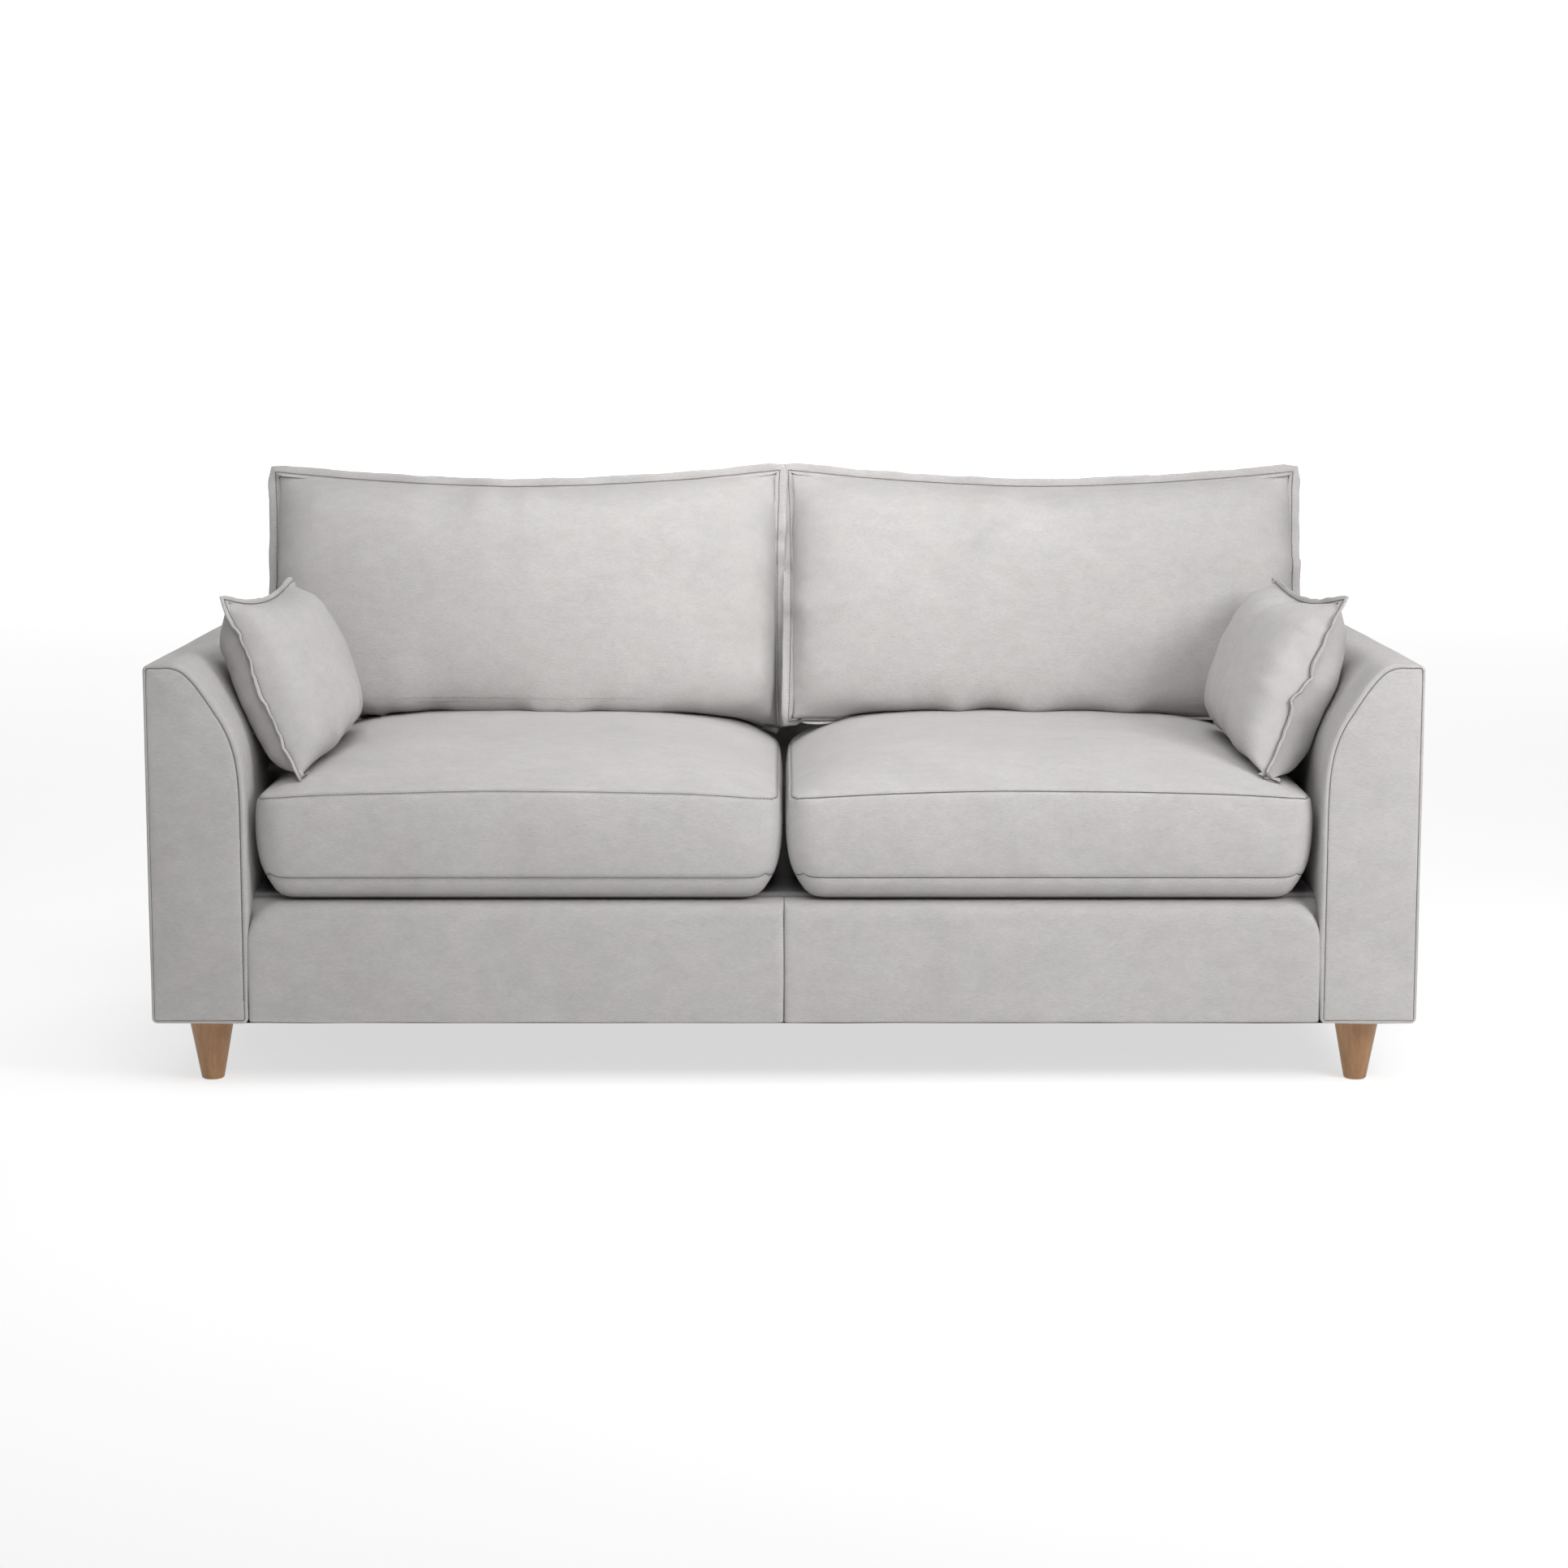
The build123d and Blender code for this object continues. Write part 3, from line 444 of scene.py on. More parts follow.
FINISHES.update({slot: mottled(slot, *look) for slot, look in MOTTLED.items()})


def finish_frame_parts():
    """Every part that keeps its own shape takes the finish of its slot."""
    for part in frame["record"]["subparts"]:
        mesh = frame["nodes"][part["node"]].data
        for index in range(len(mesh.materials)):
            mesh.materials[index] = FINISHES[part["material_slot"]]


# ------------------------------------------------------------------ arms


def arm_loop():
    """Outline of the right arm, seen from the front."""
    box = [(HALF_WIDTH, BASE), (HALF_WIDTH, ARM_TOP), (WELL, ARM_TOP), (WELL, BASE)]
    loop = rounded_loop(box, [0.009, 0.010, 0.020, 0.009], [60, 12, 40, 16], 9)
    turn = next(i for i, p in enumerate(loop) if p[0] <= ARM_CURVE[0][0] + 0.003)
    below = [p for p in loop[turn:] if p[1] < ARM_CURVE[-1][1] - 0.004]
    return np.array(list(loop[:turn]) + through(ARM_CURVE, 4) + below)


def arm_ring(loop, normals, y, inset, swell, seed):
    """One section of the arm's wrap, swollen by its padding on the inner side and the top."""
    points = loop - normals * inset
    inner = smooth_step((HALF_WIDTH - 0.012 - loop[:, 0]) / 0.05)
    low = smooth_step((loop[:, 1] - BASE) / 0.12)
    spots = np.stack([loop[:, 0], np.full(len(loop), y), loop[:, 1]], 1)
    waves = wobble(spots, 0.16, seed) * 0.0018 + wobble(spots, 0.05, seed + 3) * 0.0005
    push = swell * (0.003 * inner * low + waves * (0.35 + 0.65 * inner))
    points = points + normals * push[:, None]
    return np.stack([points[:, 0], np.full(len(loop), y), points[:, 1]], 1)


def arm_wrap(seed):
    """Cloth tube around the arm, with a soft edge where it turns to the front and the rear."""
    loop = arm_loop()
    normals = loop_normals(loop)
    rings = [arm_ring(loop, normals, FRONT + 0.0030, EDGE + 0.0005, 0, seed)]
    for degrees in (0, 30, 60, 90):
        angle = math.radians(degrees)
        y = FRONT + EDGE * (1 - math.cos(angle)) if degrees else FRONT + 0.0008
        inset = EDGE * (1 - math.sin(angle))
        rings.append(arm_ring(loop, normals, y, inset, math.sin(angle), seed))
    for y in np.linspace(FRONT + EDGE + 0.012, REAR - EDGE, 44):
        rings.append(arm_ring(loop, normals, y, 0, 1, seed))
    rings.append(arm_ring(loop, normals, REAR - EDGE * 0.3, EDGE * 0.3, 0.5, seed))
    rings.append(arm_ring(loop, normals, REAR - 0.002, EDGE, 0, seed))
    points, faces = skin(rings, True)
    return points, faces, loop, normals


def facing_points(loop, normals, seed):
    """Front panel of the arm: sewn edge set into the seam, then a slightly padded face."""
    edge = loop - normals * (EDGE + 0.0010)
    low, high = BASE + 0.05, ARM_TOP - 0.035
    height = np.clip(loop[:, 1], low, high)
    middle = (HALF_WIDTH + slope_x(height)) / 2
    targets = np.stack([middle, height], 1)
    steps = [(0, -0.0014), (0.0016, -0.0002), (0.005, 0.0005), (0.014, 0.0010)]
    rings = []
    outer = (edge[:, 0] > HALF_WIDTH - 0.02) & (edge[:, 1] < ARM_TOP - 0.02)
    for ring, lift in panel_rings(edge, targets, steps, 9, 0.0022):
        lift = np.where(outer & (lift < 0.001), np.maximum(lift, -0.0006), lift)
        spots = np.stack([ring[:, 0], np.full(len(ring), FRONT), ring[:, 1]], 1)
        waves = wobble(spots, 0.12, seed) * 0.0010 * (lift > 0)
        rings.append(np.stack([ring[:, 0], FRONT - lift - waves, ring[:, 1]], 1))
    return rings


def build_arm(name, side):
    seed = 11 + side
    points, faces, loop, normals = arm_wrap(seed)
    wrap = add_piece(name + "_arm_wrap", points, faces, CLOTH_Y, side)
    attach(wrap, "sofa_frame")
    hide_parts(name + "_arm_cover", name + "_arm_padding")
    rings = facing_points(loop, normals, seed)
    points, faces = skin(rings, True)
    facing = add_piece(name + "_arm_front", points, faces, CLOTH_X, side, outward=(0, -1, 0))
    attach(facing, "sofa_frame")
    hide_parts(name + "_arm_facing")
    seam = rings[0].copy()
    seam[:, 1] = FRONT + 0.0012
    inner_or_top = (seam[:, 0] < HALF_WIDTH - 0.02) | (seam[:, 2] > ARM_TOP - 0.012)
    above = seam[(seam[:, 2] > BASE + 0.03) & inner_or_top]
    start = int(np.argmax(np.linalg.norm(np.diff(above, axis=0), axis=1))) + 1
    above = np.roll(above, -start, 0)
    above[:, 0] *= side
    thread(name + "_arm_seam", above, 0.0007, THREAD_AND_SEAM_SHADE, "sofa_frame")


# ------------------------------------------------------------------ front border of the base


def border_profile():
    """Side view of the border: under edge, front face and rolled top, as (y, z)."""
    face = FRONT + 0.002
    path = [(FRONT + 0.045, BASE + 0.0005), (FRONT + 0.016, BASE)]
    for k in range(5):
        angle = math.radians(22.5 * k)
        path.append((face + 0.008 * (1 - math.sin(angle)), BASE + 0.008 * (1 - math.cos(angle))))
    top = DECK - 0.0095
    for z in np.linspace(BASE + 0.016, top - 0.026, 16):
        path.append((face, z))
    roll = 0.022
    for k in range(7):
        angle = math.radians(15 * k)
        path.append((face + roll * (1 - math.cos(angle)), top - roll + roll * math.sin(angle)))
    path += [(FRONT + 0.034, top), (FRONT + 0.050, top + 0.001), (FRONT + 0.070, top + 0.003)]
    path += [(FRONT + 0.090, DECK - 0.002), (FRONT + 0.112, DECK - 0.001)]
    return path


def build_border(name, side):
    low_x, high_x = 0.0006, WELL - 0.0015
    near = np.array([0, 0.0012, 0.003, 0.007, 0.013, 0.020, 0.028, 0.036, 0.045])
    between = np.linspace(low_x + 0.06, high_x - 0.06, 44)
    columns = np.concatenate([low_x + near, between, (high_x - near)[::-1]])
    corner = 0.050
    rings = []
    for y, z in border_profile():
        ring = []
        for x in columns:
            end = min(x - low_x, high_x - x)
            tuck = 0.0042 * math.exp(-end / 0.0022)
            past = max(x - (high_x - corner), 0)
            drop = corner - math.sqrt(max(corner**2 - past**2, 0))
            share = float(smooth_step((z - BASE - 0.08) / (DECK - BASE - 0.08)))
            swell = 0.0022 * math.sin(math.pi * min(max((z - BASE) / (DECK - BASE), 0), 1))
            spot = Vector((x, 0.3 * side, z))
            wave = 0.0011 * noise.noise(spot / 0.11) + 0.0005 * noise.noise(spot / 0.035)
            front = smooth_step((FRONT + 0.03 - y) / 0.02)
            share *= 1 - float(smooth_step((y - FRONT - 0.022) / 0.034))
            ring.append((x, y + tuck - (swell + wave) * front, z - drop * share))
        x, far_y, far_z = ring[-1]
        ring += [(x, far_y + 0.010, far_z), (x, far_y + 0.060, far_z)]
        rings.append(np.array(ring))
    points, faces = skin(rings, False)
    border = add_piece(name + "_base_border", points, faces, CLOTH_X, side, outward=(0, -1, 0.2))
    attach(border, "sofa_frame")
    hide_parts(name + "_front_border")
    if side > 0:
        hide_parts("front_foam")


def build_border_seam():
    path = [(0, FRONT + 0.0042, z) for z in np.linspace(BASE + 0.004, DECK - 0.018, 60)]
    thread("base_centre_seam", path, 0.0007, THREAD_AND_SEAM_SHADE, "sofa_frame")


# ------------------------------------------------------------------ back rest


def build_hood():
    """Padded hood over the back frame: raked front, soft top, ends that lie on the arms."""
    rings = []
    roll = 0.030
    levels = [(z, 0.0) for z in np.linspace(DECK + 0.001, BACK_TOP - roll, 30)]
    for k in range(1, 7):
        angle = math.radians(15 * k)
        levels.append((BACK_TOP - roll + roll * math.sin(angle), roll * (1 - math.cos(angle))))
    for z, inset in levels:
        half = min(float(slope_x(z)) - 0.001, HOOD_HALF)
        front, end = hood_y(z) + inset, half - inset
        corners = [(end, front), (end, REAR - 0.003), (-end, REAR - 0.003), (-end, front)]
        loop = rounded_loop(corners, [0.030, 0.004, 0.004, 0.030], [8, 60, 8, 60], 6)
        spots = np.stack([loop[:, 0], loop[:, 1], np.full(len(loop), z)], 1)
        wave = wobble(spots, 0.18, 5) * 0.002
        loop = loop + loop_normals(loop) * wave[:, None] * (loop[:, 1] < REAR - 0.03)[:, None]
        rings.append(np.stack([loop[:, 0], loop[:, 1], np.full(len(loop), z)], 1))
    rim = rings[-1][:, :2]
    reach = 0.012
    middle = (rim[:, 1].min() + rim[:, 1].max()) / 2
    ends = HOOD_HALF - 0.06
    targets = np.stack([np.clip(rim[:, 0], -ends, ends), np.full(len(rim), middle)], 1)
    for ring, lift in panel_rings(rim, targets, [(0.004, 0.0012), (reach, 0.0028)], 4, 0.002):
        rings.append(np.stack([ring[:, 0], ring[:, 1], BACK_TOP + lift - 0.0005], 1))
    points, faces = skin(rings, True)
    hood = add_piece("back_hood", points, faces, CLOTH_X)
    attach(hood, "sofa_frame")
    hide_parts("inside_back_cover", "back_padding")


def build_outside_back():
    """Cloth panel across the whole rear, sewn all round."""
    corners = [
        (HALF_WIDTH, BASE),
        (HALF_WIDTH, ARM_TOP),
        (HOOD_HALF, ARM_TOP),
        (HOOD_HALF, BACK_TOP),
        (-HOOD_HALF, BACK_TOP),
        (-HOOD_HALF, ARM_TOP),
        (-HALF_WIDTH, ARM_TOP),
        (-HALF_WIDTH, BASE),
    ]
    radii = [0.012, 0.012, 0.003, 0.030, 0.030, 0.003, 0.012, 0.012]
    loop = rounded_loop(corners, radii, [40, 8, 8, 90, 8, 8, 40, 100], 6)
    hem = np.where(loop[:, 1] < BASE + 0.006, 0.0008, 0.0060)[:, None]
    edge = loop - loop_normals(loop) * hem
    reach = 0.80
    targets = np.stack([np.clip(loop[:, 0], -reach, reach), np.full(len(loop), 0.40)], 1)
    steps = [(0, -0.0040), (0.0022, -0.0010), (0.006, 0.0002), (0.014, 0.0008)]
    rings = []
    for ring, lift in panel_rings(edge, targets, steps, 16, 0.0016):
        spots = np.stack([ring[:, 0], np.full(len(ring), REAR), ring[:, 1]], 1)
        waves = wobble(spots, 0.22, 9) * 0.0014 * (lift > 0)
        rings.append(np.stack([ring[:, 0], REAR + lift + waves - 0.001, ring[:, 1]], 1))
    points, faces = skin(rings, True)
    panel = add_piece("outside_back_panel", points, faces, CLOTH_X, outward=(0, 1, 0))
    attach(panel, "sofa_frame")
    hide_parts("outside_back_cover")
    seam = rings[0].copy()
    seam[:, 1] = REAR - 0.0028
    thread("outside_back_seam", seam, 0.0007, THREAD_AND_SEAM_SHADE, "sofa_frame", closed=True)


# ------------------------------------------------------------------ cloth simulation


def inflate(obj, pressure, frames, pins=(), slack=0.0, bending=0.6):
    """Lets air pressure swell a closed cloth mesh, and keeps the shape it reaches."""
    cloth = obj.modifiers.new("cloth", "CLOTH")
    settings = cloth.settings
    settings.quality = 7
    settings.mass = 0.25
    settings.air_damping = 1.5
    settings.tension_stiffness = 25
    settings.compression_stiffness = 25
    settings.shear_stiffness = 12
    settings.bending_stiffness = bending
    settings.use_pressure = True
    settings.uniform_pressure_force = pressure
    settings.effector_weights.gravity = 0
    settings.shrink_min = -slack
    if len(pins):
        group = obj.vertex_groups.new(name="pins")
        group.add([int(i) for i in pins], 1.0, "REPLACE")
        settings.vertex_group_mass = "pins"
    cloth.point_cache.frame_start = 1
    cloth.point_cache.frame_end = frames
    for number in range(1, frames + 1):
        scene.frame_set(number)
    shape = obj.evaluated_get(bpy.context.evaluated_depsgraph_get())
    result = coordinates(shape.data).copy()
    obj.modifiers.remove(cloth)
    scene.frame_set(1)
    return result


def subdivide(obj):
    """One smooth subdivision, kept in the mesh."""
    modifier = obj.modifiers.new("smooth", "SUBSURF")
    modifier.levels = 1
    graph = bpy.context.evaluated_depsgraph_get()
    mesh = bpy.data.meshes.new_from_object(obj.evaluated_get(graph))
    obj.modifiers.remove(modifier)
    obj.data = mesh
    mesh.polygons.foreach_set("use_smooth", [True] * len(mesh.polygons))


# ------------------------------------------------------------------ seat cushions

SEAT_X0, SEAT_X1 = SEAT_LOW.x - 0.0005, SEAT_HIGH.x + 0.006
SEAT_Y0, SEAT_Y1 = SEAT_LOW.y, SEAT_HIGH.y
SEAT_Z0, SEAT_CROWN = SEAT_LOW.z, SEAT_HIGH.z
SEAT_MIDDLE = (SEAT_X0 + SEAT_X1) / 2
SEAM_LOW = 0.335
SEAM_HIGH = 0.4575
PINCH = 0.007
SEAT_CORNER = 0.036
LOW_CORNER = 0.052
LOW_PINCH = 0.006
SEAT_LIP = 0.0085


def seat_top(x, y):
    """Height of the seat cushion's upper panel at |x|, y."""
    x = np.clip(np.abs(x), SEAT_X0 + PINCH, SEAT_X1 - PINCH)
    side = np.minimum(x - SEAT_X0 - PINCH, SEAT_X1 - PINCH - x)
    front = np.maximum(y - SEAT_Y0 - PINCH, 0)
    rear = np.maximum(SEAT_Y1 - PINCH - y, 0)
    rise = 1 - np.exp(-side / 0.066)
    rise = rise * (1 - 0.97 * np.exp(-front / 0.090)) * (1 - 0.95 * np.exp(-rear / 0.020))
    bow = 0.0125 * (1 - ((x - SEAT_MIDDLE) / (SEAT_MIDDLE - SEAT_X0)) ** 2)
    seam = SEAM_HIGH + bow
    return seam + (SEAT_CROWN - seam) * rise


def plan_grid(half_x, half_y, radius, across, deep):
    """Even grid over a rectangle with rounded corners."""
    u = np.linspace(-half_x, half_x, across + 1)
    v = np.linspace(-half_y, half_y, deep + 1)
    x, y = np.meshgrid(u, v, indexing="ij")
    a = (np.abs(x) - (half_x - radius)) / radius
    b = (np.abs(y) - (half_y - radius)) / radius
    inside = (a > 1e-9) & (b > 1e-9)
    big = np.maximum(a, b)
    with np.errstate(divide="ignore", invalid="ignore"):
        angle = np.where(a >= b, math.pi / 4 * b / a, math.pi / 2 - math.pi / 4 * a / b)
    new_x = np.sign(x) * (half_x - radius + radius * big * np.cos(angle))
    new_y = np.sign(y) * (half_y - radius + radius * big * np.sin(angle))
    return np.where(inside, new_x, x), np.where(inside, new_y, y)


def border_indices(across, deep):
    """Grid places around the edge of a plan grid, counter-clockwise."""
    ring = [(i, 0) for i in range(across)]
    ring += [(across, j) for j in range(deep)]
    ring += [(i, deep) for i in range(across, 0, -1)]
    ring += [(0, j) for j in range(deep, 0, -1)]
    return ring


def seat_mesh(side):
    """Points and faces of a boxed cushion: bottom panel, boxing and top panel."""
    across, deep, rows = 50, 46, 9
    half_x, half_y = (SEAT_X1 - SEAT_X0) / 2, (SEAT_Y1 - SEAT_Y0) / 2
    centre = np.array([SEAT_MIDDLE, (SEAT_Y0 + SEAT_Y1) / 2])
    x, y = plan_grid(half_x - PINCH, half_y - PINCH, SEAT_CORNER, across, deep)
    px, py = x + centre[0], y + centre[1]
    top = np.stack([px, py, seat_top(px, py)], -1).reshape(-1, 3)
    flat_u = np.abs(np.linspace(-half_x + PINCH, half_x - PINCH, across + 1))[:, None]
    flat_v = np.abs(np.linspace(-half_y + PINCH, half_y - PINCH, deep + 1))[None, :]
    edge = np.minimum(half_x - PINCH - flat_u, half_y - PINCH - flat_v)
    under = np.clip(edge / 0.045, 0, 1)
    lip = SEAT_LIP * (1 - smooth_step((py - SEAT_Y0 - 0.03) / 0.10))
    low = SEAM_LOW - (SEAM_LOW - SEAT_Z0 - 0.0008 + lip) * np.sqrt(1 - (1 - under) ** 2)
    low_x, low_y = plan_grid(half_x - PINCH - LOW_PINCH, half_y - PINCH, LOW_CORNER, across, deep)
    bottom = np.stack([low_x + centre[0], low_y + centre[1], low], -1).reshape(-1, 3)
    ring = border_indices(across, deep)
    grid = len(top)
    top_ids = [i * (deep + 1) + j for i, j in ring]
    low_ids = [grid + k for k in top_ids]
    rim = np.array([top[k] for k in top_ids])
    normals = loop_normals(rim[:, :2])
    levels = []
    for k in range(1, rows):
        share = k / rows
        out = PINCH * 0.95 * math.sin(math.pi * share) ** 0.7
        z = SEAM_LOW + (rim[:, 2] - SEAM_LOW) * share
        spots = np.stack([rim[:, 0] * side, rim[:, 1], z], 1)
        corner = np.minimum(np.abs(rim[:, 0] - SEAT_X0), np.abs(SEAT_X1 - rim[:, 0]))
        fold = np.exp(-corner / 0.16) * (np.abs(normals[:, 1]) > 0.5)
        spots[:, 2] *= 0.25
        crease = wobble(spots, 0.020, 4 + side) * 0.0026 * fold
        wave = wobble(spots, 0.09, 8 + side) * 0.0012
        shift = (out + (crease + wave) * math.sin(math.pi * share))[:, None]
        foot = np.array([bottom[k - grid][:2] for k in low_ids])
        plan = foot + (rim[:, :2] - foot) * share**0.55 + normals * shift
        plan[:, 1] = np.minimum(plan[:, 1], SEAT_Y1 - 0.0012)
        levels.append(np.column_stack([plan, z]))
    points = np.concatenate([top, bottom] + levels)
    faces = []
    for i in range(across):
        for j in range(deep):
            a = i * (deep + 1) + j
            b = a + deep + 1
            faces.append((a, b, b + 1, a + 1))
            faces.append((grid + a, grid + a + 1, grid + b + 1, grid + b))
    count = len(ring)
    rows_ids = [low_ids]
    for k in range(rows - 1):
        start = 2 * grid + k * count
        rows_ids.append(list(range(start, start + count)))
    rows_ids.append(top_ids)
    for lower, upper in zip(rows_ids, rows_ids[1:]):
        for j in range(count):
            n = (j + 1) % count
            faces.append((lower[j], lower[n], upper[n], upper[j]))
    return points, faces, top_ids, low_ids


def sink_seams(obj, width, depth, lip):
    """Cuts a narrow groove along the marked edges, with a small lip on each side."""
    made = bmesh.new()
    made.from_mesh(obj.data)
    made.verts.ensure_lookup_table()
    layer = made.verts.layers.float.get("seam")
    edges = [e for e in made.edges if all(v[layer] > 0.93 for v in e.verts)]
    result = bmesh.ops.bevel(
        made, geom=edges, offset=width, offset_type="OFFSET", segments=2, profile=0.5, affect="EDGES"
    )
    strip = set(result["faces"])
    made.normal_update()
    moves = {}
    for v in result["verts"]:
        inner = all(f in strip for f in v.link_faces)
        moves[v] = v.normal * (-depth if inner else lip)
    for v, move in moves.items():
        v.co += move
    made.to_mesh(obj.data)
    made.free()
    obj.data.polygons.foreach_set("use_smooth", [True] * len(obj.data.polygons))


def seam_path(points, loop_ids, depth):
    """Thread line of a seam: the loop's own points moved in by the groove's depth."""
    loop = points[loop_ids]
    normals = loop_normals(loop[:, :2])
    inner = loop.copy()
    inner[:, :2] -= normals * depth
    return inner


def build_seat(name, side):
    body = name + "_seat_cushion"
    points, faces, top_ids, low_ids = seat_mesh(side)
    points = points.copy()
    points[:, 0] *= side
    mesh = bpy.data.meshes.new(body)
    mesh.from_pydata(points.tolist(), [], faces)
    obj = bpy.data.objects.new(body + "_soft", mesh)
    scene.collection.objects.link(obj)
    if side < 0:
        mesh.flip_normals()
    pins = sorted(set(top_ids) | set(low_ids))
    swollen = inflate(obj, 3.0, 14, pins=pins, slack=0.006, bending=0.8)
    move = swollen - points
    size = np.linalg.norm(move, axis=1)[:, None]
    move = move * np.minimum(1, 0.022 / np.maximum(size, 1e-9))
    lid = points[:, 2] > SEAM_HIGH + 0.002
    floor = points[:, 2] < SEAM_LOW - 0.002
    gain = np.where(lid, 0.35, np.where(floor, 0.0, 0.45))[:, None]
    points = points + move * gain
    rough = wobble(points, 0.13, 40 + side) * 0.0016
    lid = points[:, 2] > SEAM_HIGH + 0.004
    points[:, 2] += np.where(lid, rough, 0)
    set_coordinates(mesh, points)
    seam = mesh.attributes.new("seam", "FLOAT", "POINT")
    marks = np.zeros(len(points))
    marks[top_ids + low_ids] = 1
    seam.data.foreach_set("value", marks.astype(np.float32))
    mesh.materials.append(CLOTH_X)
    subdivide(obj)
    coarse = coordinates(obj.data)[: len(points)].copy()
    sink_seams(obj, 0.0022, 0.0020, 0.0004)
    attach(obj, body)
    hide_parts(body + "_cover", body + "_core")
    for label, ids in (("upper", top_ids), ("lower", low_ids)):
        path = seam_path(coarse, ids, 0.0012)
        thread(body + "_" + label + "_seam", path, 0.0006, THREAD_AND_SEAM_SHADE, body, closed=True)


# ------------------------------------------------------------------ loose back and scatter cushions


def pillow_grid(across, high, width, height, start):
    """Two flat sheets sewn together round the edge; returns points, faces and layout."""
    u = np.linspace(-1, 1, across + 1)
    v = np.linspace(-1, 1, high + 1)
    gu, gv = np.meshgrid(u, v, indexing="ij")
    plump = start * (1 - np.abs(gu) ** 4) * (1 - np.abs(gv) ** 4)
    front = np.stack([gu * width / 2, -plump, gv * height / 2], -1).reshape(-1, 3)
    rear = np.stack([gu * width / 2, plump, gv * height / 2], -1).reshape(-1, 3)
    grid = len(front)
    ring = border_indices(across, high)
    edge_ids = [i * (high + 1) + j for i, j in ring]
    on_edge = set(edge_ids)
    rear_ids = {}
    extra = []
    for k in range(grid):
        if k in on_edge:
            rear_ids[k] = k
        else:
            rear_ids[k] = grid + len(extra)
            extra.append(rear[k])
    points = np.concatenate([front, np.array(extra)])
    faces = []
    for i in range(across):
        for j in range(high):
            a = i * (high + 1) + j
            b = a + high + 1
            quad = (a, b, b + 1, a + 1)
            faces.append(quad)
            faces.append(tuple(rear_ids[k] for k in reversed(quad)))
    order = np.array([rear_ids[k] for k in range(grid)])
    return points, faces, edge_ids, order


def fit_outline(shape, across, high, order, sag_high, sag_low, sag_ends):
    """Scales a simulated pillow so that its sewn edge follows the outline wanted.
    The result has u and v from -1 to 1 at the corners."""
    grid = (across + 1) * (high + 1)
    sheet = {"front": shape[:grid], "rear": shape[order]}
    edge = shape[:grid].reshape(across + 1, high + 1, 3)
    u = np.linspace(-1, 1, across + 1)
    v = np.linspace(-1, 1, high + 1)
    out = shape.copy()
    for name, points in sheet.items():
        points = points.reshape(across + 1, high + 1, 3)
        x, z = points[..., 0], points[..., 2]
        low_z, high_z = edge[:, :1, 2], edge[:, -1:, 2]
        low_x, high_x = edge[:1, :, 0], edge[-1:, :, 0]
        share_v = (z - low_z) / (high_z - low_z)
        share_u = (x - low_x) / (high_x - low_x)
        share_u, share_v = np.clip(share_u, 0, 1), np.clip(share_v, 0, 1)
        curve_u = (1 - np.abs(u) ** 1.8)[:, None]
        curve_v = (1 - np.abs(v) ** 2.2)[None, :]
        new_v = -1 + sag_low * curve_u + share_v * (2 - (sag_low + sag_high) * curve_u)
        new_u = -1 + sag_ends * curve_v + share_u * (2 - 2 * sag_ends * curve_v)
        thin = np.clip((1 - share_v) / 0.10, 0, 1) ** 0.5
        fitted = np.stack([new_u, points[..., 1] * thin, new_v], -1).reshape(-1, 3)
        if name == "front":
            out[:grid] = fitted
        else:
            inner = order >= grid
            out[order[inner]] = fitted[inner]
    return out


def relax(shape, across, high, order, times):
    """Evens out small creases of a simulated pillow and leaves its sewn edge alone."""
    grid = (across + 1) * (high + 1)
    for ids in (np.arange(grid), order):
        sheet = shape[ids].reshape(across + 1, high + 1, 3)
        for _ in range(times):
            near = sheet[2:, 1:-1] + sheet[:-2, 1:-1] + sheet[1:-1, 2:] + sheet[1:-1, :-2]
            sheet[1:-1, 1:-1] = sheet[1:-1, 1:-1] * 0.4 + near * 0.15
        shape[ids] = sheet.reshape(-1, 3)
    return shape


def between_corners(shape, corners):
    """Places a fitted pillow on four corners; its thickness goes along their common normal."""
    low_a, low_b, high_a, high_b = (np.array(c, float) for c in corners)
    s, t = ((shape[:, 0] + 1) / 2)[:, None], ((shape[:, 2] + 1) / 2)[:, None]
    base = (low_a * (1 - s) + low_b * s) * (1 - t) + (high_a * (1 - s) + high_b * s) * t
    along = (low_b + high_b - low_a - high_a) / 2
    up = (high_a + high_b - low_a - low_b) / 2
    normal = np.cross(up, along)
    normal /= np.linalg.norm(normal)
    return base + normal * shape[:, 1:2], normal


def pucker(fitted, width, height, seed):
    """Small folds that run in from the sewn edge and die away within a hand's breadth."""
    u, v = fitted[:, 0], fitted[:, 2]
    side, end = (1 - np.abs(v)) * height / 2, (1 - np.abs(u)) * width / 2
    reach = np.minimum(side, end)
    spots = np.where((side < end)[:, None], np.stack([u * width / 2, 0 * u, np.sign(v)], 1), 0)
    spots = np.where((side >= end)[:, None], np.stack([np.sign(u), 0 * u, v * height / 2], 1), spots)
    spots[:, 1] = np.sign(fitted[:, 1]) * 3
    flat = spots * [1, 0.02, 1]
    folds = wobble(flat, 0.017, seed) + 0.6 * wobble(flat, 0.040, seed + 2)
    reach = np.maximum(reach, 0)
    return folds * np.exp(-reach / 0.034) * (1 - np.exp(-reach / 0.007))


